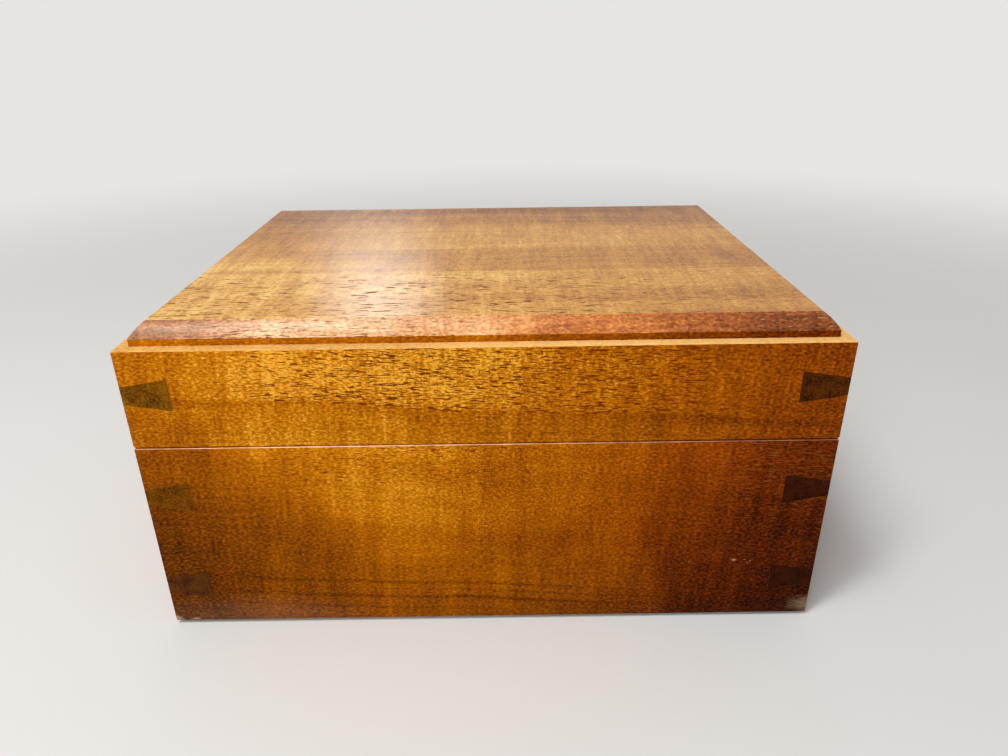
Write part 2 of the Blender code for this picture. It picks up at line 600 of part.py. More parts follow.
def build_hygrometer(brass, paper, steel, glass, magnet, lid):
    """A round dial that faces down from the lid; the hand turns on an arbor in the can's back."""
    centre_x = -(LINER_HALF_X - LID_SPACE - BEZEL_RADIUS)
    magnet_top = CEILING_BOTTOM - GLUE_GAP
    back = magnet_top - DISC_MAGNET_THICKNESS - GLUE_GAP
    place = (centre_x, 0.0, back)
    seat = pivot("hygrometer_seat", place, lid)

    disc = prism(circle(DISC_MAGNET_RADIUS, CAN_SIDES), magnet_top - DISC_MAGNET_THICKNESS, magnet_top, "z")
    piece("hygrometer_magnet", disc, magnet, (centre_x, 0.0, 0.0), parent=lid, smooth=True)

    mouth = -HYGROMETER_HEIGHT
    inside = HYGROMETER_RADIUS - CAN_WALL
    arbor_hole = ARBOR_RADIUS + ARBOR_CLEARANCE
    hole_end = -CAN_BACK + ARBOR_LENGTH + GLUE_GAP
    can = [
        (0.0, 0.0),
        (HYGROMETER_RADIUS, 0.0),
        (HYGROMETER_RADIUS, mouth),
        (inside, mouth),
        (inside, -CAN_BACK),
        (arbor_hole, -CAN_BACK),
        (arbor_hole, hole_end),
        (0.0, hole_end),
    ]
    piece("hygrometer_case", turned(can, CAN_SIDES), brass, place, parent=seat, smooth=True)

    dial_top = -CAN_BACK - GLUE_GAP
    dial_face = dial_top - DIAL_THICKNESS
    dial_radius = inside - GLUE_GAP
    dial = [
        (arbor_hole, dial_top),
        (dial_radius, dial_top),
        (dial_radius, dial_face),
        (arbor_hole, dial_face),
    ]
    piece("hygrometer_dial", turned(dial, CAN_SIDES, ring=True), paper, place, parent=seat, smooth=True)

    lens_outer = mouth
    lens_inner = lens_outer + LENS_THICKNESS
    lens = prism(circle(dial_radius, CAN_SIDES), lens_outer, lens_inner, "z")
    piece("hygrometer_lens", lens, glass, place, parent=seat, smooth=True)

    lap = HYGROMETER_RADIUS - CAN_WALL - BEZEL_LAP
    skirt_inner = HYGROMETER_RADIUS + GLUE_GAP
    face_top = mouth - GLUE_GAP
    face_bottom = face_top - BEZEL_FACE
    bezel = [
        (skirt_inner, mouth + BEZEL_SKIRT),
        (BEZEL_RADIUS, mouth + BEZEL_SKIRT),
        (BEZEL_RADIUS, face_bottom),
        (lap, face_bottom),
        (lap, face_top),
        (skirt_inner, face_top),
    ]
    piece("hygrometer_bezel", turned(bezel, CAN_SIDES, ring=True), brass, place, parent=seat, smooth=True)

    hand_top = dial_face - NEEDLE_LIFT
    hand_bottom = hand_top - NEEDLE_THICKNESS
    angle = radians((DIAL_READING - 50.0) / 100.0 * DIAL_SWEEP)
    arbor = [
        (0.0, -CAN_BACK + ARBOR_LENGTH),
        (ARBOR_RADIUS, -CAN_BACK + ARBOR_LENGTH),
        (ARBOR_RADIUS, hand_top),
        (NEEDLE_HUB_RADIUS, hand_top),
        (NEEDLE_HUB_RADIUS, hand_top - NEEDLE_HUB_HEIGHT),
        (0.0, hand_top - NEEDLE_HUB_HEIGHT),
    ]
    needle = piece("hygrometer_needle", turned(arbor, PIN_SIDES), steel, place, angle, seat)
    hand = [
        (-NEEDLE_HALF_WIDTH, NEEDLE_TAIL),
        (-NEEDLE_HALF_WIDTH, 0),
        (0, -NEEDLE_LENGTH),
        (NEEDLE_HALF_WIDTH, 0),
        (NEEDLE_HALF_WIDTH, NEEDLE_TAIL),
    ]
    blade = tool("hygrometer_hand", prism(hand, hand_bottom, hand_top, "z"), place, angle, seat)
    boolean(needle, blade, "UNION")


def build():
    clear_scene()
    koa = finish("oiled_koa", (0.40, 0.17, 0.035), 0.35)
    walnut = finish("walnut", (0.055, 0.022, 0.008), 0.4)
    cedar = finish("spanish_cedar", (0.42, 0.19, 0.10), 0.7)
    felt = finish("felt", (0.02, 0.035, 0.02), 0.95)
    brass = finish("brass", (0.60, 0.40, 0.13), 0.3, metallic=1.0)
    screw_brass = finish("screw_brass", (0.55, 0.38, 0.14), 0.35, metallic=1.0)
    plastic = finish("black_plastic", (0.012, 0.012, 0.013), 0.45)
    foam = finish("water_foam", (0.10, 0.20, 0.09), 0.95)
    magnet = finish("ferrite_magnet", (0.03, 0.03, 0.032), 0.6)
    steel = finish("steel", (0.45, 0.45, 0.46), 0.35, metallic=1.0)
    hand_steel = finish("blued_steel", (0.03, 0.035, 0.06), 0.4, metallic=1.0)
    paper = finish("dial_card", (0.80, 0.76, 0.66), 0.6)
    glass = finish("lens_glass", (0.95, 0.97, 0.97), 0.05, alpha=0.3)

    lid = pivot("lid_pivot", (0.0, AXIS_Y, AXIS_Z))
    base_walls = build_base(koa, walnut, cedar, felt)
    build_divider(cedar)
    lid_walls = build_lid(koa, walnut, cedar, lid)
    build_hinges(base_walls, lid_walls, (brass, screw_brass), lid)
    build_humidifier(plastic, foam, magnet, steel, lid)
    build_hygrometer(brass, paper, hand_steel, glass, magnet, lid)


build()
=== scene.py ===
"""A desktop humidor of curly koa: a mitred box with walnut keys, a raised lid panel and a cedar lining.

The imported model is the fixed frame. Shapes are drawn in millimetres and set in place in metres.
"""

from math import cos, pi, radians, sin, sqrt, tan

import bmesh
import bpy
from mathutils import Matrix, Vector, noise


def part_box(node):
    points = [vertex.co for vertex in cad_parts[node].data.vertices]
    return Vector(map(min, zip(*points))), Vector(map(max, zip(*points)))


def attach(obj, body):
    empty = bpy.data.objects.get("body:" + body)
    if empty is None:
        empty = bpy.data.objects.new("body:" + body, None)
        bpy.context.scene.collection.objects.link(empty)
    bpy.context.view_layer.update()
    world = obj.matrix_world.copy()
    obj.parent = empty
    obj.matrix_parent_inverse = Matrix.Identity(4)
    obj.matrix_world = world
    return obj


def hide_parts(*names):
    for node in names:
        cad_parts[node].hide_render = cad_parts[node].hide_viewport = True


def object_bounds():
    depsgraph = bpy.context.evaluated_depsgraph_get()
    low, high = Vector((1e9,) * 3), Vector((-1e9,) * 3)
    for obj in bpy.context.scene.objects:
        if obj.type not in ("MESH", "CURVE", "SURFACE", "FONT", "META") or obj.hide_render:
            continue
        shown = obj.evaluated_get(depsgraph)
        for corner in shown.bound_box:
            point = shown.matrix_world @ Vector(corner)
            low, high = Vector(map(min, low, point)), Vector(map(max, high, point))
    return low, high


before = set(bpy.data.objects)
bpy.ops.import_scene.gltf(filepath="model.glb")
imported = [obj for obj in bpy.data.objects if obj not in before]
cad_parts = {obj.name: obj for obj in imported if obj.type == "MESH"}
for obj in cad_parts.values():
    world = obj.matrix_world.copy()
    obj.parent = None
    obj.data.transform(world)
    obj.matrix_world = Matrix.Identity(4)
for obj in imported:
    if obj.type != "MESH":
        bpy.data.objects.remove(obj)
cad_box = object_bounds()


# Base walls
# Four boards of curly koa, 19 mm thick, mitred and glued into a ring, then routed across the corners for the
# dovetail keys. The arrises are eased with sandpaper, and the back edge is planed to a slope for the hinges.
WALL = 19.0
EASED = 0.6
OVERCUT = 3.0
FLOOR_FIT = 0.1
HALF_WIDTH = cad_box[1].x * 1000
HALF_DEPTH = cad_box[1].y * 1000
SIDES = {
    "front": (HALF_WIDTH, HALF_DEPTH, 0.0),
    "right": (HALF_DEPTH, HALF_WIDTH, pi / 2),
    "back": (HALF_WIDTH, HALF_DEPTH, pi),
    "left": (HALF_DEPTH, HALF_WIDTH, -pi / 2),
}
KEY_NARROW = 6.9
KEY_WIDE = 12.7
KEY_DEPTH = 12.7
KEY_FIT = 0.05
SLOT_HALF = 18.0
LOWER_KEY = 18.9
UPPER_KEY = 21.9
HINGE_AXIS = (98.0, 85.35)
HINGE_PLACES = (-78.5, 78.5)
MORTISE_HALF = 20.15
BACK_SLOPE = tan(radians(47.5))

# Section of a hinge's mortise in the lid, from the hinge's axis backwards and upwards
MORTISE = ((-11.6, -3.0), (-11.6, 2.1), (-3.0, 2.1), (-3.0, 3.0), (9.0, 3.0), (9.0, -3.0))


def span(name):
    """Lowest and highest corner of a CAD node, in millimetres."""
    low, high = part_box(name)
    return low * 1000, high * 1000


def linear(colour):
    """Linear RGBA of an sRGB hex colour."""
    parts = [int(colour[place:place + 2], 16) / 255 for place in (1, 3, 5)]
    return (*[part / 12.92 if part <= 0.04045 else ((part + 0.055) / 1.055) ** 2.4 for part in parts], 1.0)


def node(tree, kind, links=None, out=0, stops=(), **settings):
    """Add a node with its settings. Links hold values or other nodes' outputs; one output is given back."""
    made = tree.nodes.new("ShaderNode" + kind)
    for name, value in settings.items():
        setattr(made, name, value)
    for place, (at, colour) in enumerate(stops):
        stop = made.color_ramp.elements[place] if place < 2 else made.color_ramp.elements.new(at)
        stop.position = at
        stop.color = linear(colour)
    for socket, value in (links or {}).items():
        if isinstance(value, bpy.types.NodeSocket):
            tree.links.new(value, made.inputs[socket])
        else:
            made.inputs[socket].default_value = value
    return made.outputs[out] if made.outputs else None


def new_finish(name):
    """An empty material and its node tree."""
    material = bpy.data.materials.new(name)
    material.use_nodes = True
    material.node_tree.nodes.clear()
    return material, material.node_tree


def in_millimetres(tree):
    """The place on the object, in millimetres."""
    place = node(tree, "TexCoord", out="Object")
    return node(tree, "VectorMath", {0: place, 1: (1000, 1000, 1000)}, operation="MULTIPLY")


def streaks(tree, place, size, detail, at=(0, 0, 0)):
    """A noise pattern with its own size along each axis; another start gives another piece of it."""
    laid = node(tree, "Mapping", {"Vector": place, "Scale": [1 / length for length in size], "Location": at})
    return node(tree, "TexNoise", {"Vector": laid, "Scale": 1.0, "Detail": detail})


def fade(tree, place, middle, reach):
    """1 in the middle of an ellipsoid, falling to 0 where its reach ends."""
    scale = [1 / length for length in reach]
    offset = [-at / length for at, length in zip(middle, reach)]
    near = node(tree, "Mapping", {"Vector": place, "Scale": scale, "Location": offset})
    away = node(tree, "VectorMath", {0: near}, out="Value", operation="LENGTH")
    return node(tree, "MapRange", {"Value": away, "From Min": 1.0, "From Max": 0.0},
                interpolation_type="SMOOTHSTEP")


KOA_TONES = ("#1E0A00", "#421C00", "#683200", "#8A4700", "#A95E02", "#C77C0E", "#E6A434")
PALE_WEAR_AND_SHEEN = "#D2B08E"
PORE = ("#6A2A02", 3.8, 0.38)
SPECK = ("#782E00", 1.0, 0.5)
PALE_STREAK = ("#8E4E1C", 6.0, 0.25)
GRIT = (2.5, 2.5, 0.45)
DASH_START = 0.81
DASH_FULL = 0.85
SWAY_LENGTH = 70
SWAY = (0, 16, 16)
RAGGED = (60, 5, 5)
GRAIN_TILT = -0.055
THROUGH = 200

# Size of each pattern in the figure along the grain and across it, in mm, and its detail
FIGURE_SIZES = ((190, 15, 3.0), (90, 1.8, 2.0), (7, 34, 2.0), (1.4, 14, 2.0), (1.5, 0.8, 1.0))
KOA_FIGURE = (0.35, 0.2, 0.35, 0.15, 0.95)
SIDE_FIGURE = (0.5, 0.35, 0.4, 0.25, 0.7)


def koa(name, tone, shades=(), glows=(), dashes=(), wear_and_sheen=(), redder=None, turn=0.0, tilt=0.0,
        shift=(0, 0, 0), figure=KOA_FIGURE, tones=KOA_TONES, gloss=0.45, shine=0.025):
    """Curly koa under a thin satin lacquer: amber to red brown, with bands, cross curl and open pores.

    tone is how light the board is: the tones are its colours in even steps from -0.2 to 1. figure is how
    much the bands, lines, curl, fine curl and flecks change the tone. Places are in mm: shades are steps of
    tone (axis, start, end, change) and glows are patches of tone (middle, reach, change); both carry the
    figure and also painted light and shade. dashes are short marks along the grain (colour with length and
    width, share, steps that thin them out), scuffs are scraped places and a broad painted sheen (middle,
    reach, strength), and redder is a tint that comes in along the board (colour, start, end). turn and tilt
    are the grain's angles, shift picks another piece of the figure, and gloss and shine are the lacquer's
    roughness and strength of reflection.
    """
    material, tree = new_finish(name)
    mm = in_millimetres(tree)
    grain = node(tree, "Mapping", {"Vector": mm, "Rotation": (0, tilt, turn)})
    own = node(tree, "VectorMath", {0: grain, 1: shift}, operation="ADD")
    sway = node(tree, "TexNoise", {"Vector": own, "Scale": 1 / SWAY_LENGTH, "Detail": 1.0}, out="Color")
    bent = node(tree, "VectorMath", {0: sway, 1: SWAY, 2: own}, operation="MULTIPLY_ADD")

    total = tone - sum(figure) / 2
    for (along, across, detail), change in zip(FIGURE_SIZES, figure):
        pattern = streaks(tree, own if along < 2 else bent, (along, across, across), detail)
        total = node(tree, "Math", {0: pattern, 1: change, 2: total}, operation="MULTIPLY_ADD")

    # Shades and glows have edges that wander along the grain
    centred = node(tree, "VectorMath", {0: sway, 1: (0.5, 0.5, 0.5)}, operation="SUBTRACT")
    ragged = node(tree, "VectorMath", {0: centred, 1: RAGGED, 2: grain}, operation="MULTIPLY_ADD")
    split = node(tree, "SeparateXYZ", {0: ragged}).node
    for axis, begin, finish, change in shades:
        step = node(tree, "MapRange", {
            "Value": split.outputs[axis], "From Min": begin, "From Max": finish, "To Max": change,
        }, interpolation_type="SMOOTHSTEP")
        total = node(tree, "Math", {0: total, 1: step}, operation="ADD")
    for middle, reach, change in glows:
        patch = fade(tree, ragged, middle, reach)
        total = node(tree, "Math", {0: patch, 1: change, 2: total}, operation="MULTIPLY_ADD")
    level = node(tree, "MapRange", {"Value": total, "From Min": -0.2, "From Max": 1.0})
    stops = [(step / (len(tones) - 1), shade) for step, shade in enumerate(tones)]
    colour = node(tree, "ValToRGB", {"Fac": level}, stops=stops)
    if redder:
        tint, begin, finish = redder
        step = node(tree, "MapRange", {
            "Value": split.outputs[0], "From Min": begin, "From Max": finish,
        }, interpolation_type="SMOOTHSTEP")
        colour = node(
            tree, "MixRGB", {"Fac": step, "Color1": colour, "Color2": linear(tint)}, blend_type="MULTIPLY")

    # Dashes stand where a stretched noise rises above a limit, and are duller and lower than the lacquer
    height = pattern
    for layer, ((mark, along, across), share, steps) in enumerate(dashes):
        strokes = streaks(tree, own, (along, across, across), 1.0, at=(17 * layer, 0, 5 * layer))
        for axis, begin, finish in steps:
            step = node(tree, "MapRange", {
                "Value": split.outputs[axis], "From Min": begin, "From Max": finish,
            }, interpolation_type="SMOOTHSTEP")
            share = node(tree, "Math", {0: step, 1: share}, operation="MULTIPLY")
        above = node(tree, "Math", {0: strokes, 1: share}, operation="ADD")
        dash = node(tree, "MapRange", {"Value": above, "From Min": DASH_START, "From Max": DASH_FULL})
        colour = node(tree, "MixRGB", {"Fac": dash, "Color1": colour, "Color2": linear(mark)})
        height = node(tree, "Math", {0: height, 1: 0.4, 2: dash}, operation="MULTIPLY_ADD")
        gloss = node(tree, "Math", {0: dash, 1: 0.4, 2: gloss}, operation="MULTIPLY_ADD")
    if wear_and_sheen:
        grit = streaks(tree, mm, GRIT, 3.0)
    for middle, reach, strength in wear_and_sheen:
        patch = fade(tree, mm, middle, reach)
        rub_and_sheen = node(tree, "Math", {0: patch, 1: grit}, operation="ADD")
        rub_and_sheen = node(tree, "MapRange", {
            "Value": rub_and_sheen, "From Min": 0.9, "From Max": 1.7, "To Max": strength,
        })
        colour = node(tree, "MixRGB", {"Fac": rub_and_sheen, "Color1": colour, "Color2": linear(PALE_WEAR_AND_SHEEN)})
    bump = node(tree, "Bump", {"Height": height, "Strength": 0.15, "Distance": 0.0002}, invert=True)
    shader = node(tree, "BsdfPrincipled", {
        "Base Color": colour, "Roughness": gloss, "IOR": 1.5, "Specular IOR Level": shine, "Normal": bump,
    })
    node(tree, "OutputMaterial", {"Surface": shader})
    return material


def on_front(*patches):
    """Glows on a front board: place along it and up it, reach along it and up it, change of tone."""
    return [((x, -HALF_DEPTH, z), (along, THROUGH, up), change) for x, z, along, up, change in patches]


def side_koa(part, tone, right_shade_tone, right_tint):
    """The koa of the other three walls of the base or lid; the right one is redder and painted darker, as
    shade.
    """
    plain = {"dashes": ((PORE, 0.17, ()), (SPECK, 0.1, ())), "figure": SIDE_FIGURE}
    name = f"lacquered_koa_{part}_"
    return {
        "back": koa(name + "back", tone, shift=(400, 60, 35), **plain),
        "left": koa(name + "left", tone, turn=pi / 2, shift=(150, 0, 80), **plain),
        # Painted shade: the right wall's tone is set darker than the others'
        "right": koa(name + "right", right_shade_tone, redder=(right_tint, -300, -200), turn=pi / 2,
                     shift=(-600, 30, 10), **plain),
    }


def saw(shape, point, way):
    """Cut away what lies past a plane, and close the cut."""
    everything = shape.verts[:] + shape.edges[:] + shape.faces[:]
    cut = bmesh.ops.bisect_plane(
        shape, geom=everything, dist=1e-4, plane_co=point, plane_no=way, clear_outer=True)
    edges = [item for item in cut["geom_cut"] if isinstance(item, bmesh.types.BMEdge)]
    bmesh.ops.holes_fill(shape, edges=edges, sides=0)


def rotate(shape, verts, angle, axis="Z"):
    """Turn part of a shape about an axis through the origin."""
    bmesh.ops.rotate(shape, cent=(0, 0, 0), matrix=Matrix.Rotation(angle, 3, axis), verts=verts)


def move(shape, verts, way):
    """Move part of a shape."""
    bmesh.ops.translate(shape, vec=way, verts=verts)


def block(shape, low, high):
    """Add a block between two corners to a shape."""
    made = bmesh.ops.create_cube(shape, size=1.0)
    bmesh.ops.scale(shape, vec=Vector(high) - Vector(low), verts=made["verts"])
    move(shape, made["verts"], (Vector(high) + Vector(low)) / 2)
    return made["verts"]


def draw_out(shape, outline, way):
    """Add a flat outline, drawn out along a vector, to a shape."""
    corners = [shape.verts.new(point) for point in outline]
    drawn = bmesh.ops.extrude_face_region(shape, geom=[shape.faces.new(corners)])
    moved = [item for item in drawn["geom"] if isinstance(item, bmesh.types.BMVert)]
    move(shape, moved, way)
    return corners + moved


def ease(shape, edges, width, segments=3):
    """Round edges over, or chamfer them with a single segment."""
    bmesh.ops.bevel(
        shape, geom=edges, offset=width, segments=segments, profile=0.5, affect="EDGES", material=-1)


def mitred_wall(side, low, high):
    """One wall of the box: a block with eased arrises, sawn along its inner face and its two mitres."""
    length, depth, turn = SIDES[side]
    shape = bmesh.new()
    block(shape, (-length, -depth, low), (length, depth, high))
    ease(shape, shape.edges[:], EASED)
    saw(shape, (0, WALL - depth, 0), (0, 1, 0))
    saw(shape, (-length, -depth, 0), (-1, 1, 0))
    saw(shape, (length, -depth, 0), (1, 1, 0))
    rotate(shape, shape.verts, turn)
    return shape


def across_corner(shape, verts, along_x, along_y, height):
    """Move what was drawn along +X from the origin onto the diagonal of one corner of the box."""
    turn = Vector((1, 0)).angle_signed(Vector((-along_x, -along_y)))
    rotate(shape, verts, -turn)
    move(shape, verts, (along_x * HALF_WIDTH, along_y * HALF_DEPTH, height))


def key_slots(shape, height):
    """Add the four dovetail slots at one height, one across each corner."""
    flank = (KEY_WIDE - KEY_NARROW) / 2 / KEY_DEPTH
    outer = KEY_NARROW / 2 + KEY_FIT - OVERCUT * flank
    inner = KEY_WIDE / 2 + KEY_FIT
    deep = KEY_DEPTH + KEY_FIT
    section = ((-OVERCUT, -outer), (deep, -inner), (deep, inner), (-OVERCUT, outer))
    for along_x in (-1, 1):
        for along_y in (-1, 1):
            slot = draw_out(shape, [(x, -SLOT_HALF, z) for x, z in section], (0, 2 * SLOT_HALF, 0))
            across_corner(shape, slot, along_x, along_y, height)


def hinge_mortises(shape, way):
    """Add the mortise of each hinge leaf and barrel; way is -1 in the base and 1 in the lid."""
    axis_y, axis_z = HINGE_AXIS
    for centre in HINGE_PLACES:
        points = [(centre - MORTISE_HALF, axis_y + y, axis_z + way * z) for y, z in MORTISE]
        draw_out(shape, points, (2 * MORTISE_HALF, 0, 0))


def put(name, data):
    """Put a new object into the scene."""
    item = bpy.data.objects.new(name, data)
    bpy.context.scene.collection.objects.link(item)
    return item


def cut_joinery(board, tools):
    """Take the tools' shapes out of a board."""
    objects = []
    for shape in (board, tools):
        bmesh.ops.recalc_face_normals(shape, faces=shape.faces)
        mesh = bpy.data.meshes.new("joinery")
        shape.to_mesh(mesh)
        objects.append(put("joinery", mesh))
    modifier = objects[0].modifiers.new("joinery", "BOOLEAN")
    modifier.solver = "EXACT"
    modifier.object = objects[1]
    cut = bpy.data.meshes.new_from_object(objects[0].evaluated_get(bpy.context.evaluated_depsgraph_get()))
    board.clear()
    board.from_mesh(cut)
    for item in objects:
        bpy.data.objects.remove(item)


def set_in_place(shape, name, finishes, body, slot, *nodes):
    """Make a shape a piece that rides on a body and stands for CAD nodes."""
    bmesh.ops.scale(shape, vec=(0.001, 0.001, 0.001), verts=shape.verts)
    mesh = bpy.data.meshes.new(name)
    shape.to_mesh(mesh)
    shape.free()
    mesh.shade_smooth()
    mesh.set_sharp_from_angle(angle=radians(20))
    for finish in finishes:
        mesh.materials.append(finish)
    piece = put(name, mesh)
    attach(piece, body)
    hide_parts(*nodes)
    return piece


def set_walls(part, low, high, way, joinery, finishes, lit_upper_edge, flattest):
    """Set the four walls of the base or the lid; way is -1 in the base and 1 in the lid.

    Faces of the upper edge that face up enough take a paler finish: a painted highlight, on the base over
    wood bared by sanding. flattest is the limit of their upward normal.
    """
    seam = low if way > 0 else high
    for side in SIDES:
        board = mitred_wall(side, low, high)
        if side != "front":
            saw(board, (0, HINGE_AXIS[0], seam), (0, BACK_SLOPE, -way))
        cut_joinery(board, joinery)
        for face in board.faces:
            if face.calc_center_median().z > high - EASED and 0.5 < face.normal.z < flattest:
                face.material_index = 1
        set_in_place(board, f"koa_{part}_{side}", (finishes[side], lit_upper_edge), part, "koa", f"{part}_{side}")
    joinery.free()


base_low, base_high = [corner.z for corner in span("base_front")]
floor_low, floor_high = span("base_floor")
base_joinery = bmesh.new()
block(base_joinery, floor_low - Vector((FLOOR_FIT, FLOOR_FIT, OVERCUT)),
      floor_high + Vector((FLOOR_FIT, FLOOR_FIT, FLOOR_FIT)))
key_slots(base_joinery, base_low + LOWER_KEY)
key_slots(base_joinery, base_high - UPPER_KEY)
hinge_mortises(base_joinery, -1)

base_koa = side_koa("base", 0.57, 0.44, "#FFD8B4")
# The front's shades darken it towards the bottom and towards both ends: painted shade, over the heartwood's
# own red at the right. Its glows are the figure with some painted light and shade, and the last, broad scuff
# is a faint painted sheen along the bottom left.
base_koa["front"] = koa(
    "lacquered_koa_base_front", 0.74, tilt=GRAIN_TILT,
    shades=((0, -45, 140, -0.52), (0, -80, -125, -0.2), (0, -50, -72, -0.15), (0, -60, -105, -0.12),
            (0, 64, 74, -0.03), (0, 85, 125, -0.08), (2, 85, 0, -0.34)),
    glows=on_front(
        (55, 33, 85, 36, 0.13), (6, 73, 44, 32, -0.13), (-78, 80, 24, 16, 0.12), (-115, 13, 58, 42, 0.2),
        (-72, 50, 30, 40, -0.09), (-121, 69, 12, 22, 0.12), (122, 17, 48, 30, 0.17),
        (-30, 18.5, 130, 1.4, -0.14), (10, 15, 120, 0.9, -0.1), (-20, 11.2, 140, 1.5, -0.18),
        (-70, 5.5, 70, 1.3, -0.12), (-40, 35, 44, 14, 0.06), (108, 78, 26, 22, -0.07), (-90, 5, 45, 8, 0.08)),
    dashes=((PORE, 0.18, ((2, 48, 70), (0, 45, 0), (0, -110, -60))),
            (SPECK, 0.225, ((2, 15, 40), (0, -60, -10), (0, 110, 70))),
            (PALE_STREAK, 0.21, ((0, 20, 110), (2, 10, 85)))),
    wear_and_sheen=(((135, -104, 6), (20, 20, 9), 0.4), ((-133, -104, 3), (6, 9, 3), 0.7),
            ((-125, -104, 2.5), (5, 9, 1.6), 0.5), ((99.8, -104, 29.3), (1.9, 3, 0.8), 0.8),
            ((104.2, -104, 29.4), (0.9, 3, 0.5), 0.5), ((106.6, -104, 28.7), (1.1, 3, 0.8), 0.4),
            ((105.6, -104, 27.7), (0.8, 3, 0.4), 0.4), ((-100, -104, 2), (95, 200, 24), 0.09)),
    redder=("#FFD0A8", 10, 125),
)

# Sanded koa on the arris along the saw cut: paler and pinker than the faces at the left, where the lacquer
# is thin and a painted highlight lies on it, and dark red brown at the right, a painted shade
ARRIS_MOTTLE_SIZE = 25 / 3
arris_sanding_and_highlight, tree = new_finish("koa_arris_sanding_and_highlight")
mm = in_millimetres(tree)
arris_mottle = streaks(tree, mm, (ARRIS_MOTTLE_SIZE, ARRIS_MOTTLE_SIZE, ARRIS_MOTTLE_SIZE), 3.0)
colour = node(tree, "ValToRGB", {"Fac": arris_mottle}, stops=((0.3, "#C8783C"), (0.7, "#F0C09A")))
along = node(tree, "SeparateXYZ", {0: mm})
right_painted_shade = node(tree, "MapRange", {"Value": along, "From Min": 10, "From Max": 100, "To Max": 0.75})
colour = node(tree, "MixRGB", {"Fac": right_painted_shade, "Color1": colour, "Color2": linear("#6E2A12")})
shader = node(tree, "BsdfPrincipled", {"Base Color": colour, "Roughness": 0.3})
node(tree, "OutputMaterial", {"Surface": shader})

set_walls("base", base_low, base_high, -1, base_joinery, base_koa, arris_sanding_and_highlight, 0.95)


# Dovetail keys of the base
# Wedges of dark walnut glued into the slots across each corner and planed flush. A line of pale glue shows
# along the edges of the right-hand ones.
GLUE_WIDTH = 0.18


def walnut(name, light, dark):
    """Oiled black walnut cut across the corner: dark brown, with a fine speckle of end grain."""
    material, tree = new_finish(name)
    mm = in_millimetres(tree)
    clouds = node(tree, "TexNoise", {"Vector": mm, "Scale": 1 / 5, "Detail": 1.0})
    speckle = streaks(tree, mm, (1, 1, 0.6), 2.0)
    tone = node(tree, "Math", {0: clouds, 1: 0.6, 2: speckle}, operation="MULTIPLY_ADD")
    colour = node(tree, "ValToRGB", {"Fac": tone}, stops=((0.6, dark), (1.0, light)))
    bump = node(tree, "Bump", {"Height": speckle, "Strength": 0.1, "Distance": 0.0001})
    shader = node(tree, "BsdfPrincipled", {
        "Base Color": colour, "Roughness": 0.45, "IOR": 1.5, "Specular IOR Level": 0.02, "Normal": bump,
    })
    node(tree, "OutputMaterial", {"Surface": shader})
    return material


def mottled(name, size, detail, stops, surface, bump=None):
    """A material that wanders between two colours; bump is the strength and depth of its relief."""
    material, tree = new_finish(name)
    clouds = streaks(tree, in_millimetres(tree), size, detail)
    sockets = {"Base Color": node(tree, "ValToRGB", {"Fac": clouds}, stops=stops), **surface}
    if bump:
        strength, depth = bump
        sockets["Normal"] = node(tree, "Bump", {"Height": clouds, "Strength": strength, "Distance": depth})
    shader = node(tree, "BsdfPrincipled", sockets)
    node(tree, "OutputMaterial", {"Surface": shader})
    return material


# Wood glue squeezed out beside the keys: broken lines of pale amber
glue_line = mottled(
    "dried_wood_glue", (7, 7, 7), 2.0, ((0.5, "#2C1206"), (0.7, "#8A5026")),
    {"Roughness": 0.6, "IOR": 1.5, "Specular IOR Level": 0.05})


def set_keys(part, suffix, height, left_lit_colours, right_shaded_colours):
    """Glue the four keys at one height of the base or the lid; the right ones take darker colours, as painted
    shade.
    """
    finishes = {
        "left": walnut(f"oiled_walnut_{part}{suffix}_left", *left_lit_colours),
        "right": walnut(f"oiled_walnut_{part}{suffix}_right", *right_shaded_colours),
    }
    low = -KEY_WIDE / 2
    outline = [(0, 0, low), (KEY_DEPTH, -KEY_DEPTH, low), (KEY_DEPTH, KEY_DEPTH, low)]
    for along_y, face in ((-1, "front"), (1, "back")):
        for along_x, side in ((-1, "left"), (1, "right")):
            shape = bmesh.new()
            draw_out(shape, outline, (0, 0, KEY_WIDE))
            corner = [vertex for vertex in shape.verts if vertex.co.x < 1]
            bmesh.ops.scale(shape, vec=(1, 1, KEY_NARROW / KEY_WIDE), verts=corner)
            bmesh.ops.recalc_face_normals(shape, faces=shape.faces)
            arris = [edge for edge in shape.edges if all(vertex.co.x < 1 for vertex in edge.verts)]
            ease(shape, arris, EASED)
            planed = [item for item in shape.faces if item.normal.x < -0.5 and item.calc_area() > 50]
            rims = bmesh.ops.inset_individual(shape, faces=planed, thickness=GLUE_WIDTH)["faces"]
            for rim in rims:
                if side == "right" and rim.calc_center_median().x > 2:
                    rim.material_index = 1
            across_corner(shape, shape.verts, along_x, along_y, height)
            name = f"{part}_key_{face}_{side}{suffix}"
            set_in_place(shape, f"walnut_{name}", (finishes[side], glue_line), part, "walnut", name)


# Painted shade: the right keys are darker than the left ones, and the lower keys darker than the upper
set_keys("base", "_lower", base_low + LOWER_KEY, ("#5E3410", "#361A08"), ("#3C1604", "#1E0702"))
set_keys("base", "_upper", base_high - UPPER_KEY, ("#7C4806", "#422002"), ("#421A04", "#1E0802"))


# Floor and felt
# A koa floor board lies in the walls' rebate, and a sheet of dark felt is glued under the box, set back from
# its edges, so that the box stands softly.
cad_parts["base_floor"].material_slots[0].material = koa("oiled_koa_floor", 0.5, shift=(90, 300, 0))

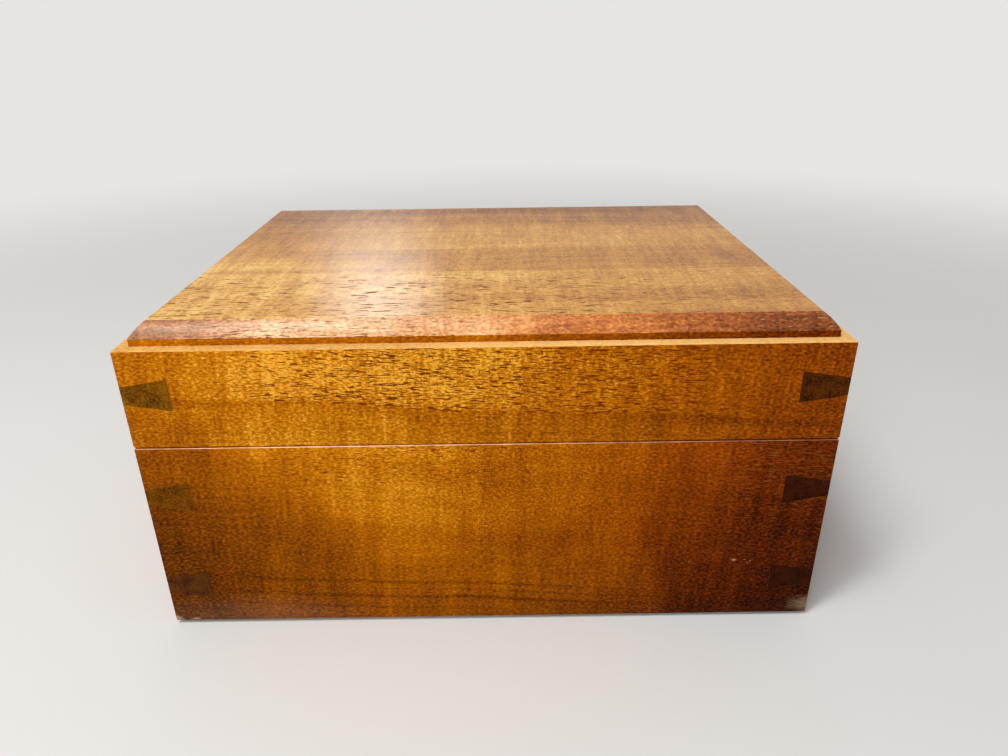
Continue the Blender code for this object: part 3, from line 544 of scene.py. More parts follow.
# Pressed wool felt: dark green and quite matt, fuzzy with short fibres
FIBRE = 1 / 1.4
felt_cloth = mottled(
    "pressed_wool_felt", (FIBRE, FIBRE, FIBRE), 4.0, ((0.3, "#14211A"), (0.7, "#2C4436")),
    {"Roughness": 0.95, "Sheen Weight": 0.4, "Sheen Roughness": 0.5}, bump=(0.5, 0.0003))

felt_low, felt_high = span("base_felt")
shape = bmesh.new()
bmesh.ops.create_grid(shape, x_segments=26, y_segments=20, size=0.5)
bmesh.ops.scale(shape, vec=(felt_high.x - felt_low.x, felt_high.y - felt_low.y, 1), verts=shape.verts)
move(shape, shape.verts, (0, 0, felt_high.z))
bmesh.ops.solidify(shape, geom=shape.faces[:], thickness=felt_high.z - felt_low.z)
bmesh.ops.recalc_face_normals(shape, faces=shape.faces)
felt = set_in_place(shape, "felt_underside", (felt_cloth,), "base", "felt", "base_felt")


# Cedar lining of the base
# Thin boards of Spanish cedar, left unfinished so that they take up moisture. The four upright ones stand
# above the rim as a lip that seals the lid, chamfered on the outside.
LIP_CHAMFER = 1.5
CEDAR_EASED = 0.35
CEDAR_FULL = Vector((0.1, 0.1, 0.1))


def cedar(name, turn=0.0, shift=(0, 0, 0)):
    """Planed, unfinished Spanish cedar: dull pinkish brown with fine dark lines along the grain."""
    material, tree = new_finish(name)
    mm = in_millimetres(tree)
    grain = node(tree, "Mapping", {"Vector": mm, "Rotation": (0, 0, turn), "Location": shift})
    sway = node(tree, "TexNoise", {"Vector": grain, "Scale": 1 / 60, "Detail": 1.0}, out="Color")
    bent = node(tree, "VectorMath", {0: sway, 1: (0, 9, 9), 2: grain}, operation="MULTIPLY_ADD")
    bands = streaks(tree, bent, (160, 8, 8), 3.0)
    lines = streaks(tree, bent, (14, 0.5, 0.5), 2.0)
    tone = node(tree, "Math", {0: lines, 1: 0.5, 2: bands}, operation="MULTIPLY_ADD")
    stops = ((0.5, "#8E5233"), (1.0, "#CF9168"), (0.75, "#B87850"))
    colour = node(tree, "ValToRGB", {"Fac": tone}, stops=stops)
    bump = node(tree, "Bump", {"Height": lines, "Strength": 0.2, "Distance": 0.0002})
    shader = node(tree, "BsdfPrincipled", {
        "Base Color": colour, "Roughness": 0.7, "IOR": 1.5, "Specular IOR Level": 0.3, "Normal": bump,
    })
    node(tree, "OutputMaterial", {"Surface": shader})
    return material


def cedar_board(name, body, finish, lip=None):
    """One board of the lining, a little full so that its joints close.

    lip is the outward side of a board with a chamfered top.
    """
    low, high = span(name)
    shape = bmesh.new()
    block(shape, low - CEDAR_FULL, high + CEDAR_FULL)
    if lip:
        outward = Vector((*lip, 0))
        middle = (low + high) / 2
        edges = [edge for edge in shape.edges if all(
            vertex.co.z > high.z and (vertex.co - middle).dot(outward) > 1 for vertex in edge.verts)]
        ease(shape, edges, LIP_CHAMFER, segments=1)
    ease(shape, shape.edges[:], CEDAR_EASED, segments=2)
    set_in_place(shape, f"cedar_{name}", (finish,), body, "cedar", name)


cedar_along = cedar("planed_cedar_along_box")
cedar_across = cedar("planed_cedar_across_box", turn=pi / 2, shift=(70, 0, 20))
LINED_SIDES = {
    "front": (cedar_along, (0, -1)),
    "back": (cedar_along, (0, 1)),
    "left": (cedar_across, (-1, 0)),
    "right": (cedar_across, (1, 0)),
}
cedar_board("base_liner_floor", "base", cedar_along)
for side, (finish, outward) in LINED_SIDES.items():
    cedar_board(f"base_liner_{side}", "base", finish, lip=outward)


# Divider
# A loose board of Spanish cedar that stands across the box. It is held by nothing but its close fit between
# the front and back linings, and slides along them.
cedar_board("divider", "divider", cedar("planed_cedar_divider", turn=pi / 2, shift=(0, 200, 60)))


# Lid walls
# The lid was sawn from the same glued box, so its walls carry on the base's grain. Each corner has one walnut
# key, and a rebate along the upper inner edge takes the panel.
LID_KEY = 21.7
PANEL_FIT = 0.05
PANEL_SEAT = 0.1
PANEL_CLEAR = 5.0
lid_low, lid_high = [corner.z for corner in span("lid_front")]
panel_low, panel_high = span("lid_panel")
lid_joinery = bmesh.new()
block(lid_joinery, panel_low - Vector((PANEL_FIT, PANEL_FIT, PANEL_SEAT)),
      panel_high + Vector((PANEL_FIT, PANEL_FIT, PANEL_CLEAR)))
key_slots(lid_joinery, lid_low + LID_KEY)
hinge_mortises(lid_joinery, 1)

lid_koa = side_koa("lid", 0.62, 0.52, "#FFE6C0")
# The lid's front is painted darker towards both ends and to the right, as painted shade, and its glows are
# the figure with some painted light and shade
lid_koa["front"] = koa(
    "lacquered_koa_lid_front", 0.76, tilt=GRAIN_TILT,
    shades=((0, -40, 140, -0.40), (0, -80, -115, -0.26), (2, 94.5, 97.5, -0.1), (2, 98.5, 101, 0.16),
            (0, 0, 50, -0.045)),
    glows=on_front(
        (-70, 91, 115, 17, -0.1), (5, 90, 45, 9, -0.08), (20, 92, 90, 7, -0.04), (0, 94.5, 150, 0.9, -0.08),
        (20, 91, 140, 0.8, -0.07), (105, 95, 70, 8, 0.09), (-18, 97, 35, 10, -0.07), (4, 121, 52, 9, 0.1),
        (-114, 94, 34, 9, 0.13), (-16, 109, 92, 28, 0.05)),
    dashes=((PORE, 0.252, ((2, 97, 100), (0, 130, 50), (0, -130, -60))),
            (SPECK, 0.19, ((2, 97, 100), (0, -105, -35), (0, 115, 45)))),
    figure=(0.3, 0.2, 0.3, 0.36, 1.1), redder=("#FFE6C0", 10, 125),
)

# Koa on top of the lid walls, painted paler than the faces as a painted highlight, paler from the middle
# rightwards
RIM_HIGHLIGHT_TONES = ("#A86C34", "#C0803C", "#D09850", "#E0AA60", "#E8B66E", "#EEC27E", "#F4CC90")
rim_highlight_koa = koa("koa_rim_painted_highlight", 0.28, shades=((0, -50, 30, 0.26),), tones=RIM_HIGHLIGHT_TONES)

set_walls("lid", lid_low, lid_high, 1, lid_joinery, lid_koa, rim_highlight_koa, 1.1)
# Painted shade: the lid's right keys are darker than its left ones
set_keys("lid", "", lid_low + LID_KEY, ("#84520A", "#402202"), ("#5C2E06", "#2A1002"))


# Lid panel
# One wide board of figured koa in the lid's rebate, with an upright edge above the rim and a slightly
# swelling bevel up to the flat top.
PANEL_EDGE = 2.6
BEVEL_RUN = 5.35
BEVEL_RISE = 5.5
BEVEL_SWELL = 0.4
BEVEL_STEPS = 8
shape = bmesh.new()
block(shape, panel_low, (panel_high.x, panel_high.y, lid_high + PANEL_EDGE))
top = max(shape.faces, key=lambda face: face.calc_center_median().z)
slant = sqrt(BEVEL_RUN ** 2 + BEVEL_RISE ** 2)
gone_in = 0.0
gone_up = 0.0
for step in range(1, BEVEL_STEPS + 1):
    share = step / BEVEL_STEPS
    swell = BEVEL_SWELL * 4 * share * (1 - share)
    inward = BEVEL_RUN * share - swell * BEVEL_RISE / slant
    upward = BEVEL_RISE * share + swell * BEVEL_RUN / slant
    bmesh.ops.inset_individual(
        shape, faces=[top], thickness=inward - gone_in, depth=upward - gone_up, use_even_offset=True)
    gone_in = inward
    gone_up = upward
for face in shape.faces:
    if abs(face.normal.z) < 0.1:
        face.material_index = 1
    elif 0.1 < face.normal.z < 0.95:
        face.material_index = 2

PANEL_TONES = ("#2C140C", "#4C2612", "#72441C", "#9A612B", "#B87D39", "#D2994A", "#EEBF6C")
LONG_PORE = ("#6A3408", 6.0, 0.8)
# Patches and shades of tone on the panel: its ribbon figure, with painted light at the front left, and
# painted shade at the back left, towards the back and to the right
PANEL_PATCHES = (
    (-100, -60, 60, 60, 0.1), (-110, 55, 60, 70, -0.14), (-110, -18, 85, 22, 0.12), (-110, 18, 75, 24, -0.08),
    (-70, -41, 80, 9, 0.06), (115, -95, 110, 45, -0.14), (-75, 5, 40, 50, -0.06), (-75, -72, 45, 22, -0.01),
    (-5, -42, 42, 15, 0.09), (-42, -10, 36, 50, -0.03))
panel_koa = koa(
    "lacquered_koa_panel", 0.77,
    shades=((1, -20, 60, -0.06), (1, 40, 85, -0.22), (0, -80, 130, -0.1), (1, 2, 0, -0.09),
            (1, -35, -37.5, 0.1)),
    glows=[((x, y, panel_high.z), (along, across, THROUGH), change)
           for x, y, along, across, change in PANEL_PATCHES],
    dashes=((LONG_PORE, 0.19, ((1, 10, -60), (0, 190, 20))), (SPECK, 0.1, ((1, 60, -60),))),
    figure=(0.5, 0.25, 0.35, 0.32, 0.6), tones=PANEL_TONES, gloss=0.2, shine=0.11,
)
# The panel's upright edge is painted darker than its top, and darker still to the right: painted shade
panel_edge_shade_koa = koa("lacquered_koa_panel_edge_shaded", 0.57, shades=((0, -40, 130, -0.33),), redder=("#FFDCB8", 10, 125))

# The bevel is painted creamier to the left, a painted highlight, and darker at its far left end and darker
# and redder to the right, a painted shade
FINE_PORE = ("#6A3418", 3.5, 0.34)
PALE_FLECK = ("#A8744E", 3.0, 0.7)
BEVEL_HIGHLIGHT_TONES = ("#2A180A", "#4C2C12", "#7A4A24", "#A4693C", "#CC915B", "#E4B987", "#F4E0B8")
bevel_highlight_koa = koa(
    "lacquered_koa_panel_bevel_highlit", 0.62,
    shades=((0, -20, 130, -0.34), (0, -80, -115, -0.33), (0, 72, 112, -0.1)),
    glows=(((-55, -96, 129), (50, 200, 60), 0.07), ((4, -96, 129), (36, 200, 60), 0.04)),
    dashes=((FINE_PORE, 0.2, ((0, 75, -35), (0, -125, -95))), (PALE_FLECK, 0.16, ((0, 60, 110),)),
            (PALE_FLECK, 0.12, ((0, -70, -115),))),
    redder=("#FFDCB4", -35, 45),
    figure=(0.3, 0.45, 0.3, 0.15, 0.7), tones=BEVEL_HIGHLIGHT_TONES, gloss=0.32, shine=0.3,
)
set_in_place(shape, "koa_lid_panel", (panel_koa, panel_edge_shade_koa, bevel_highlight_koa), "lid", "koa", "lid_panel")


# Cedar lining of the lid
# Spanish cedar like the base's lining: a ceiling board glued under the panel, and four low boards along the
# walls, between the ceiling and the base's lip.
cedar_board("lid_liner_ceiling", "lid", cedar_along)
for side in LINED_SIDES:
    cedar_board(f"lid_liner_{side}", "lid", LINED_SIDES[side][0])


# Hinges
# Two brass butt hinges sunk in the back rims. Each has two leaves with rolled knuckles that turn on a pin,
# and is held by four countersunk brass screws.
HINGE_HALF = 20.0
LEAF_THICKNESS = 1.8
LEAF_REACH = 11.5
LEAF_START = 3.0
SAW_CUT = 0.4
KNUCKLE = 8.0
KNUCKLE_GAP = 0.3
KNUCKLE_SHOULDER = 0.3
KNUCKLE_STRAP = (3.1, 1.6)
BARREL_RADIUS = 2.7
PIN_RADIUS = 1.2
PIN_FIT = 0.1
SCREW_OFFSET = 13.0
SCREW_FROM_AXIS = 7.25
SCREW_SLOT = Vector((2, 0.25, 0.4))

# Radii and depths below the leaf's face
COUNTERSINK = ((0, -2), (1.9, -2), (1.9, 0), (1.0, 1.1), (1.0, 3), (0, 3))
SCREW = ((0, 0), (1.7, 0), (1.7, 0.15), (0.8, 1.1), (0.8, 7.9), (0, 9.5))


def turned(shape, profile, centre, along="Z", steps=48, ring=False):
    """Add a profile of radii and heights, spun about an axis through the centre; a ring's is closed."""
    before = set(shape.verts)
    corners = [shape.verts.new((radius, 0, height)) for radius, height in profile]
    edges = [shape.edges.new(pair) for pair in zip(corners, corners[1:])]
    if ring:
        edges.append(shape.edges.new((corners[-1], corners[0])))
    bmesh.ops.spin(
        shape, geom=corners + edges, cent=(0, 0, 0), axis=(0, 0, 1), angle=2 * pi, steps=steps,
        use_merge=True)
    made = [vertex for vertex in shape.verts if vertex not in before]
    bmesh.ops.remove_doubles(shape, verts=made, dist=1e-4)
    made = [vertex for vertex in shape.verts if vertex not in before]
    bmesh.ops.recalc_face_normals(shape, faces=list({face for vertex in made for face in vertex.link_faces}))
    if along == "X":
        rotate(shape, made, pi / 2, "Y")
    move(shape, made, centre)


def rod(radius, start, end, bore=0.0):
    """The profile of a round bar or disc, or of a tube round a bore."""
    return [(bore, start), (radius, start), (radius, end), (bore, end)]


def ease_sharp(shape, width, segments=2):
    """Ease every sharp edge of a shape."""
    sharp = [edge for edge in shape.edges if edge.is_manifold and edge.calc_face_angle() > radians(40)]
    ease(shape, sharp, width, segments)


def brass(name, light, dark, gloss):
    """Brass dulled by handling: warm yellow metal with browner clouds and fine drawn lines."""
    material, tree = new_finish(name)
    mm = in_millimetres(tree)
    clouds = node(tree, "TexNoise", {"Vector": mm, "Scale": 1 / 7, "Detail": 4.0})
    colour = node(tree, "ValToRGB", {"Fac": clouds}, stops=((0.35, dark), (0.65, light)))
    lines = streaks(tree, mm, (12, 0.25, 0.25), 2.0)
    rough = node(tree, "MapRange", {
        "Value": lines, "From Min": 0.3, "From Max": 0.7, "To Min": gloss - 0.08, "To Max": gloss + 0.12,
    })
    bump = node(tree, "Bump", {"Height": lines, "Strength": 0.08, "Distance": 0.0001})
    shader = node(tree, "BsdfPrincipled", {
        "Base Color": colour, "Metallic": 1.0, "Roughness": rough, "Normal": bump,
    })
    node(tree, "OutputMaterial", {"Surface": shader})
    return material


hinge_brass = brass("drawn_brass_hinge", "#D2A95A", "#A67C38", 0.32)
screw_brass = brass("turned_brass_screw", "#C09A52", "#8F6A30", 0.36)


def knuckle_ends(place):
    """Where one of the five knuckles starts and ends along the hinge."""
    start = (place - 2.5) * KNUCKLE
    end = start + KNUCKLE
    if place > 0:
        start += KNUCKLE_GAP / 2
    if place < 4:
        end -= KNUCKLE_GAP / 2
    return start, end


def hinge_leaf(prefix, middle, way, knuckles, body):
    """A leaf, its knuckles and its two screws; way is -1 for the base's leaf and 1 for the lid's."""
    axis_y, axis_z = HINGE_AXIS
    rim = axis_z + way * SAW_CUT / 2
    low, high = sorted((rim, rim + way * LEAF_THICKNESS))
    leaf = bmesh.new()
    block(leaf, (middle - HINGE_HALF, axis_y - LEAF_REACH, low),
          (middle + HINGE_HALF, axis_y - LEAF_START, high))
    countersinks = bmesh.new()
    for number, offset in enumerate((-SCREW_OFFSET, SCREW_OFFSET), start=1):
        head = (middle + offset, axis_y - SCREW_FROM_AXIS, rim)
        turned(countersinks, [(radius, way * depth) for radius, depth in COUNTERSINK], head, steps=24)
        screw = bmesh.new()
        turned(screw, [(radius, way * depth) for radius, depth in SCREW], head, steps=24)
        driver = bmesh.new()
        slot = block(driver, -SCREW_SLOT, SCREW_SLOT)
        rotate(driver, slot, number + middle)
        move(driver, slot, head)
        cut_joinery(screw, driver)
        driver.free()
        name = f"{prefix}_screw_{number}"
        set_in_place(screw, f"brass_{name}", (screw_brass,), body, "screw_brass", name)
    cut_joinery(leaf, countersinks)
    countersinks.free()
    for place in knuckles:
        start, end = knuckle_ends(place)
        block(leaf, (middle + start + KNUCKLE_SHOULDER, axis_y - KNUCKLE_STRAP[0], low),
              (middle + end - KNUCKLE_SHOULDER, axis_y - KNUCKLE_STRAP[1], high))
        barrel = rod(BARREL_RADIUS, start, end, bore=PIN_RADIUS + PIN_FIT)
        turned(leaf, barrel, (middle, axis_y, axis_z), along="X", ring=True)
    ease_sharp(leaf, 0.15)
    set_in_place(leaf, f"brass_{prefix}_leaf", (hinge_brass,), body, "brass", f"{prefix}_leaf")


for side, middle in zip(("left", "right"), HINGE_PLACES):
    hinge_leaf(f"hinge_{side}_base", middle, -1, (0, 2, 4), "base")
    hinge_leaf(f"hinge_{side}_lid", middle, 1, (1, 3), "lid")
    pin = bmesh.new()
    turned(pin, rod(PIN_RADIUS, -HINGE_HALF, HINGE_HALF), (middle, *HINGE_AXIS), along="X", steps=24)
    ease_sharp(pin, 0.2)
    set_in_place(pin, f"brass_hinge_{side}_pin", (screw_brass,), "base", "screw_brass", f"hinge_{side}_pin")


# Humidifier
# A case of moulded black ABS with a slotted grille pressed into its mouth, over a block of water foam. A
# magnet strip in its back holds it on a steel strip that is glued under the lid.
CASE_ROUNDING = 3.0
CASE_WALL = 2.0
CASE_BACK = 4.0
CASE_LEDGE = 0.8
MOULD_DRAFT = 0.02
GRILLE_SEAT = 2.3
SLOT_ROUNDING = 1.2
SLOT_SIZE = Vector((3.0, 16.5, 10.0))
SLOT_PITCH = 6.6
SLOT_ROWS = (-10.75, 10.75)
SLOT_COLUMNS = 13
POCKET_FIT = 0.3
POCKET_CLEAR = 2.0


def uprights(edges):
    """Those of the edges that stand upright."""
    return [edge for edge in edges if edge.verts[0].co.xy == edge.verts[1].co.xy]


# Moulded ABS: near black, with the fine sparkle of a spark-eroded mould
black_abs = mottled(
    "moulded_black_abs", (0.5, 0.5, 0.5), 2.0, ((0.3, "#141416"), (0.7, "#26272A")),
    {"Roughness": 0.5, "IOR": 1.53, "Specular IOR Level": 0.4}, bump=(0.25, 0.0001))

case_low, case_high = span("humidifier_case")
shape = bmesh.new()
block(shape, case_low, case_high)
ease(shape, uprights(shape.edges), CASE_ROUNDING, segments=6)
mouth = min(shape.faces, key=lambda face: face.calc_center_median().z)
deep = case_high.z - case_low.z - GRILLE_SEAT - CASE_BACK
for inward, depth in ((CASE_WALL, 0), (MOULD_DRAFT, GRILLE_SEAT), (CASE_LEDGE, 0), (MOULD_DRAFT, deep)):
    bmesh.ops.inset_individual(shape, faces=[mouth], thickness=inward, depth=-depth)
ease_sharp(shape, 0.3)
pocket = bmesh.new()
magnet_low, magnet_high = span("humidifier_magnet")
block(pocket, magnet_low - Vector((POCKET_FIT, POCKET_FIT, POCKET_FIT)),
      magnet_high + Vector((POCKET_FIT, POCKET_FIT, POCKET_CLEAR)))
cut_joinery(shape, pocket)
pocket.free()
set_in_place(shape, "abs_humidifier_case", (black_abs,), "humidifier", "black_plastic", "humidifier_case")

grille_low, grille_high = span("humidifier_grille")
middle = (grille_low + grille_high) / 2
grille = bmesh.new()
block(grille, grille_low, grille_high)
slots = bmesh.new()
for column in range(SLOT_COLUMNS):
    for row in SLOT_ROWS:
        at = Vector((middle.x + (column - (SLOT_COLUMNS - 1) / 2) * SLOT_PITCH, row, middle.z))
        corners = block(slots, at - SLOT_SIZE / 2, at + SLOT_SIZE / 2)
        edges = {edge for corner in corners for edge in corner.link_edges}
        ease(slots, uprights(edges), SLOT_ROUNDING, segments=4)
cut_joinery(grille, slots)
slots.free()
ease_sharp(grille, 0.25)
set_in_place(
    grille, "abs_humidifier_grille", (black_abs,), "humidifier", "black_plastic", "humidifier_grille")

# Phenolic water foam: dull green, crumbly, with open cells whose pits are painted darker, a painted shade
water_foam, tree = new_finish("phenolic_water_foam")
place = node(tree, "TexCoord", out="Object")
cell_shade = node(tree, "TexVoronoi", {"Vector": place, "Scale": 1000 / 0.9}, out="Distance")
crumb = node(tree, "TexNoise", {"Vector": place, "Scale": 1000 / 3, "Detail": 4.0})
tone = node(tree, "Math", {0: cell_shade, 1: 0.7, 2: crumb}, operation="MULTIPLY_ADD")
colour = node(tree, "ValToRGB", {"Fac": tone}, stops=((0.4, "#1E3A1C"), (1.1, "#7FA06A")))
bump = node(tree, "Bump", {"Height": tone, "Strength": 0.8, "Distance": 0.0006})
shader = node(tree, "BsdfPrincipled", {"Base Color": colour, "Roughness": 0.95, "Normal": bump})
node(tree, "OutputMaterial", {"Surface": shader})

FOAM_ROOM = Vector((0.5, 0.5, 0.3))
FOAM_ROUNDING = 1.2
CRUMB_HEIGHT = 0.25
CRUMB_SIZE = 2.5
foam_low, foam_high = span("humidifier_foam")
shape = bmesh.new()
block(shape, foam_low + FOAM_ROOM, foam_high - FOAM_ROOM)
ease(shape, shape.edges[:], FOAM_ROUNDING, segments=2)
long_edges = [edge for edge in shape.edges if edge.calc_length() > 20]
bmesh.ops.subdivide_edges(shape, edges=long_edges, cuts=48, use_grid_fill=True)
for vertex in shape.verts:
    vertex.co.z += CRUMB_HEIGHT * noise.noise(vertex.co / CRUMB_SIZE)
set_in_place(shape, "water_foam_block", (water_foam,), "humidifier", "foam", "humidifier_foam")

# Plastic-bound ferrite: dark grey and matt, faintly mottled
ferrite = mottled(
    "bonded_ferrite", (1.5, 1.5, 1.5), 4.0, ((0.3, "#2A2A2C"), (0.7, "#434346")), {"Roughness": 0.65})

# Cold-rolled steel: grey metal with fine rolling lines along the strip
rolled_steel = mottled(
    "rolled_steel", (20, 0.3, 0.3), 3.0, ((0.3, "#8E9092"), (0.7, "#B8B9BA")),
    {"Metallic": 1.0, "Roughness": 0.38})

STRIP_ROUNDING = 1.0
for name, finish, body, slot in (("humidifier_magnet", ferrite, "humidifier", "magnet"),
                                 ("humidifier_plate", rolled_steel, "lid", "steel")):
    shape = bmesh.new()
    block(shape, *span(name))
    ease(shape, uprights(shape.edges), STRIP_ROUNDING, segments=4)
    ease_sharp(shape, 0.15)
    set_in_place(shape, f"strip_{name}", (finish,), body, slot, name)


# Hygrometer
# A round dial in a spun brass can with a pressed brass bezel over a clear lens. The hand turns on an arbor in
# the can's back, and a disc magnet glued under the lid holds the can.
DIAL_SWEEP = radians(270)
REST_READING = 70
CAN_RADIUS = 21.5
CAN_BORE = 20.5
CAN_BACK = 4.2
ARBOR_BORE = 0.8
ARBOR_DEPTH = 3.3
DIAL_RADIUS = 20.2
can_low, can_high = span("hygrometer_case")
bezel_low, bezel_high = span("hygrometer_bezel")
dial_low, dial_high = span("hygrometer_dial")
lens_low, lens_high = span("hygrometer_lens")
hand_low, hand_high = span("hygrometer_needle")
disc_low, disc_high = span("hygrometer_magnet")
centre = (can_low + can_high) / 2
centre.z = 0
spun_brass = brass("spun_brass_can", "#D8B468", "#B58A42", 0.26)


def dial_angle(percent):
    """How far a reading stands from the middle of the scale."""
    return (percent / 100 - 0.5) * DIAL_SWEEP


shape = bmesh.new()
back = can_high.z - CAN_BACK
can = [(0, can_high.z), (CAN_RADIUS, can_high.z), (CAN_RADIUS, can_low.z), (CAN_BORE, can_low.z),
       (CAN_BORE, back), (ARBOR_BORE, back), (ARBOR_BORE, back + ARBOR_DEPTH), (0, back + ARBOR_DEPTH)]
turned(shape, can, centre, steps=96)
ease_sharp(shape, 0.3)
set_in_place(shape, "brass_hygrometer_can", (spun_brass,), "hygrometer", "brass", "hygrometer_case")

BEZEL_RADIUS = 23.1
BEZEL_BORE = 21.8
BEZEL_FACE = (22.6, 20.2)
BEZEL_MOUTH = 18.1
BEZEL_SHOULDER = 1.0
BEZEL_LIP = 0.7
LENS_GAP = 0.3
rest = can_low.z - LENS_GAP
shape = bmesh.new()
ring = [(BEZEL_BORE, bezel_high.z), (BEZEL_RADIUS, bezel_high.z),
        (BEZEL_RADIUS, bezel_low.z + BEZEL_SHOULDER), (BEZEL_FACE[0], bezel_low.z),
        (BEZEL_FACE[1], bezel_low.z), (BEZEL_MOUTH, bezel_low.z + BEZEL_LIP), (BEZEL_MOUTH, rest),
        (BEZEL_BORE, rest)]
turned(shape, ring, centre, steps=96, ring=True)
ease_sharp(shape, 0.25, segments=3)
set_in_place(shape, "brass_hygrometer_bezel", (spun_brass,), "hygrometer", "brass", "hygrometer_bezel")

# Clear acrylic: colourless and glossy, with no tint
clear_acrylic, tree = new_finish("clear_acrylic")
place = node(tree, "TexCoord", out="Object")
haze = node(tree, "TexNoise", {"Vector": place, "Scale": 1000 / 15, "Detail": 3.0})
rough = node(tree, "MapRange", {"Value": haze, "To Max": 0.06})
shader = node(tree, "BsdfPrincipled", {
    "Base Color": linear("#FAFCFC"), "Roughness": rough, "IOR": 1.49, "Transmission Weight": 1.0,
})
node(tree, "OutputMaterial", {"Surface": shader})
shape = bmesh.new()
turned(shape, rod(DIAL_RADIUS, lens_low.z, lens_high.z), centre, steps=96)
ease_sharp(shape, 0.15)
set_in_place(shape, "acrylic_hygrometer_lens", (clear_acrylic,), "hygrometer", "glass", "hygrometer_lens")

# Dial card: cream, uncoated, faintly fibrous
dial_card = mottled(
    "cream_dial_card", (1.2, 1.2, 1.2), 4.0, ((0.3, "#E4DAC0"), (0.7, "#F1E9D4")), {"Roughness": 0.7})

# Printing ink on the card: near black, a little uneven where the card took less of it
printing_ink = mottled(
    "black_printing_ink", (0.8, 0.8, 0.8), 2.0, ((0.3, "#17140F"), (0.8, "#3A352C")), {"Roughness": 0.6})

INK = 0.05
TICK_RING = 16.6
LONG_TICK = (2.6, 0.45)
SHORT_TICK = (1.4, 0.22)
NUMBER_RING = 11.2
NUMBER_SIZE = 3.6
shape = bmesh.new()
turned(shape, rod(DIAL_RADIUS, dial_high.z, dial_low.z, bore=ARBOR_BORE), centre, steps=96, ring=True)
plain = set(shape.faces)
for percent in range(0, 101, 2):
    length, width = SHORT_TICK if percent % 10 else LONG_TICK
    tick = block(shape, (-width / 2, TICK_RING - length, 0), (width / 2, TICK_RING, INK))
    rotate(shape, tick, dial_angle(percent) + pi)
    move(shape, tick, centre + Vector((0, 0, dial_low.z - INK)))
for percent in range(0, 101, 20):
    letters = bpy.data.curves.new("reading", "FONT")
    letters.body = str(percent)
    letters.size = NUMBER_SIZE
    letters.align_x = "CENTER"
    letters.align_y = "CENTER"
    letters.extrude = INK / 2
    sign = put("reading", letters)
    printed = bpy.data.meshes.new_from_object(sign.evaluated_get(bpy.context.evaluated_depsgraph_get()))
    bpy.data.objects.remove(sign)
    before = set(shape.verts)
    shape.from_mesh(printed)
    made = [vertex for vertex in shape.verts if vertex not in before]
    rotate(shape, made, pi, "X")
    angle = dial_angle(percent)
    at = Vector((NUMBER_RING * sin(angle), -NUMBER_RING * cos(angle), dial_low.z - INK / 2))
    move(shape, made, centre + at)
for face in shape.faces:
    if face not in plain:
        face.material_index = 1
printed_card = (dial_card, printing_ink)
set_in_place(shape, "card_hygrometer_dial", printed_card, "hygrometer", "dial_card", "hygrometer_dial")

# Blued steel: dark blue metal that turns violet towards brown where the heat ran further
blued_steel = mottled(
    "blued_steel", (5, 5, 5), 1.0, ((0.35, "#1C2A52"), (0.65, "#33305A")),
    {"Metallic": 1.0, "Roughness": 0.3})

BLADE = ((-0.5, 4.5), (-1.1, 2.6), (-0.8, 0), (-0.12, -15), (0.12, -15), (0.8, 0), (1.1, 2.6), (0.5, 4.5))
BLADE_THICKNESS = 0.5
BLADE_GAP = 0.6
ARBOR_RADIUS = 0.6
HUB_RADIUS = 1.8
blade_high = dial_low.z - BLADE_GAP
shape = bmesh.new()
draw_out(shape, [(x, y, blade_high - BLADE_THICKNESS) for x, y in BLADE], (0, 0, BLADE_THICKNESS))
arbor = [(0, hand_high.z), (ARBOR_RADIUS, hand_high.z), (ARBOR_RADIUS, blade_high), (HUB_RADIUS, blade_high),
         (HUB_RADIUS, hand_low.z), (0, hand_low.z)]
turned(shape, arbor, (0, 0, 0), steps=32)
bmesh.ops.recalc_face_normals(shape, faces=shape.faces)
rotate(shape, shape.verts, dial_angle(REST_READING))
move(shape, shape.verts, centre)
ease_sharp(shape, 0.1)
set_in_place(
    shape, "steel_hygrometer_hand", (blued_steel,), "hygrometer_hand", "blued_steel", "hygrometer_needle")

shape = bmesh.new()
turned(shape, rod((disc_high.x - disc_low.x) / 2, disc_low.z, disc_high.z), centre, steps=64)
ease_sharp(shape, 0.2)
set_in_place(shape, "ferrite_hygrometer_magnet", (ferrite,), "lid", "magnet", "hygrometer_magnet")


# Studio
# A pale floor that runs out into a pale surround, three soft lights at the upper left, in front and behind,
# and the camera close in front of the box, looking down on its lid.
PALE = "#E6E5E2"
surround = bpy.data.worlds.new("pale_surround")
bpy.context.scene.world = surround
surround.use_nodes = True
tree = surround.node_tree
tree.nodes.clear()
rays = node(tree, "LightPath").node
seen = node(tree, "Math", {
    0: rays.outputs["Is Camera Ray"], 1: rays.outputs["Is Transmission Ray"],
}, operation="MAXIMUM")
seen = node(tree, "Math", {0: rays.outputs["Is Glossy Ray"], 1: 0.3, 2: seen}, operation="MULTIPLY_ADD")
fill = node(tree, "Background", {"Color": linear("#FFFFFF"), "Strength": 0.45})
pale = node(tree, "Background", {"Color": linear(PALE), "Strength": 1.0})
mixed = node(tree, "MixShader", {0: seen, 1: fill, 2: pale})
node(tree, "OutputWorld", {"Surface": mixed})

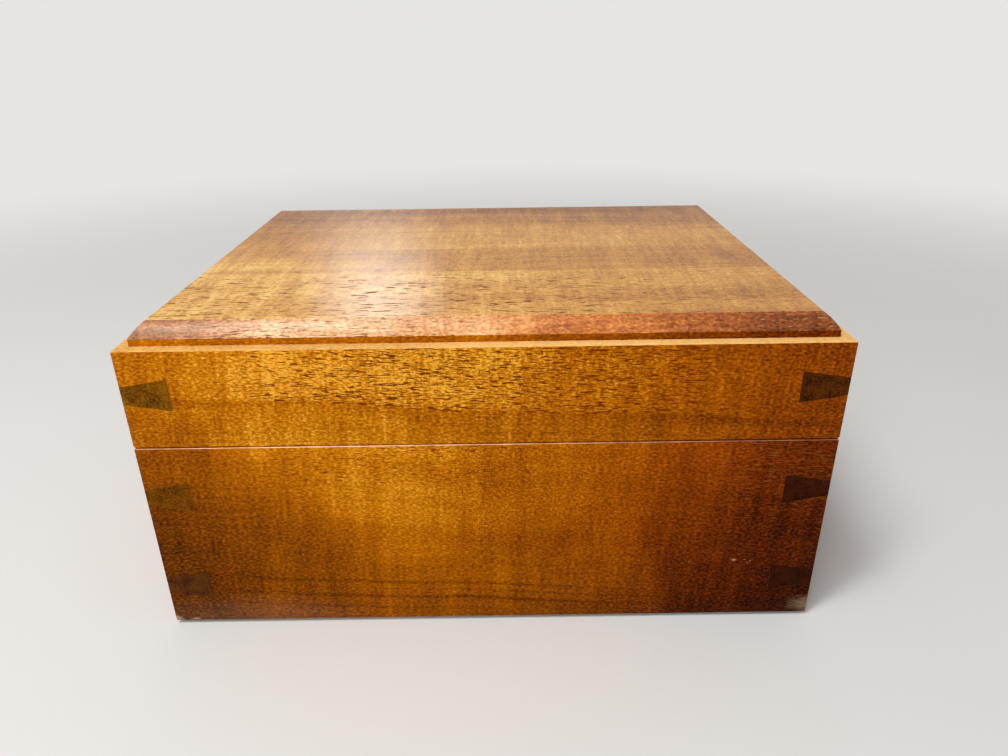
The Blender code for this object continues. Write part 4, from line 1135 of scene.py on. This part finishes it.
# Matt floor paint, pale grey near the box and as bright as the surround far from it, so that no horizon shows
floor_paint, tree = new_finish("pale_floor_paint")
place = node(tree, "TexCoord", out="Object")
distance = node(tree, "VectorMath", {0: place}, out="Value", operation="LENGTH")
far = node(tree, "MapRange", {"Value": distance, "From Min": 0.35, "From Max": 1.2},
           interpolation_type="SMOOTHSTEP")
near_paint = node(tree, "BsdfDiffuse", {"Color": linear("#DAD9D6")})
far_glow = node(tree, "Emission", {"Color": linear(PALE), "Strength": 1.0})
mixed = node(tree, "MixShader", {0: far, 1: near_paint, 2: far_glow})
node(tree, "OutputMaterial", {"Surface": mixed})
shape = bmesh.new()
bmesh.ops.create_circle(shape, cap_ends=True, segments=64, radius=30.0)
mesh = bpy.data.meshes.new("floor")
shape.to_mesh(mesh)
shape.free()
mesh.materials.append(floor_paint)
floor = put("floor", mesh)


def softbox(name, at, aim, width, height, power):
    """A soft light at a place, turned to a point, which fades towards its left and right edges."""
    light = bpy.data.lights.new(name, "AREA")
    light.shape = "RECTANGLE"
    light.size = width
    light.size_y = height
    light.energy = power
    light.use_nodes = True
    tree = light.node_tree
    tree.nodes.clear()
    across = node(tree, "NewGeometry", out="Parametric")
    middle = node(tree, "VectorMath", {0: across, 1: (0.5, 0.5, 0)}, operation="SUBTRACT")
    sideways = node(tree, "SeparateXYZ", {0: middle})
    away = node(tree, "Math", {0: sideways}, operation="ABSOLUTE")
    soft = node(tree, "MapRange", {"Value": away, "From Min": 0.5, "From Max": 0.0, "To Max": 2.0},
                interpolation_type="SMOOTHSTEP")
    glow = node(tree, "Emission", {"Strength": soft})
    node(tree, "OutputLight", {"Surface": glow})
    lamp = put(name, light)
    lamp.location = at
    lamp.rotation_euler = (Vector(aim) - Vector(at)).to_track_quat("-Z", "Y").to_euler()


softbox("top_light", (-0.42, -0.47, 1.2), (-0.02, -0.02, 0.1), 0.42, 0.6, 10.0)
softbox("front_light", (-0.6, -1.3, 0.75), (-0.03, -0.1, 0.06), 0.8, 0.8, 8.0)
softbox("back_light", (-0.31, 1.45, 0.70), (-0.05, -0.05, 0.13), 0.42, 0.24, 1.05)

EYE = (0.00614, -0.34987, 0.22503)
PITCH = radians(24.574)
YAW = radians(0.142)
ROLL = radians(-0.726)
lens = bpy.data.cameras.new("camera")
lens.sensor_width = 36.0
lens.lens = 26.617
lens.clip_start = 0.01
camera = put("camera", lens)
ahead = Vector((sin(YAW) * cos(PITCH), cos(YAW) * cos(PITCH), -sin(PITCH)))
level = Vector((cos(YAW), -sin(YAW), 0.0))
upright = level.cross(ahead)
across = cos(ROLL) * level + sin(ROLL) * upright
upward = -sin(ROLL) * level + cos(ROLL) * upright
facing = Matrix((across, upward, -ahead)).transposed().to_4x4()
camera.matrix_world = Matrix.Translation(EYE) @ facing
bpy.context.scene.camera = camera
bpy.context.scene.view_settings.view_transform = "Standard"
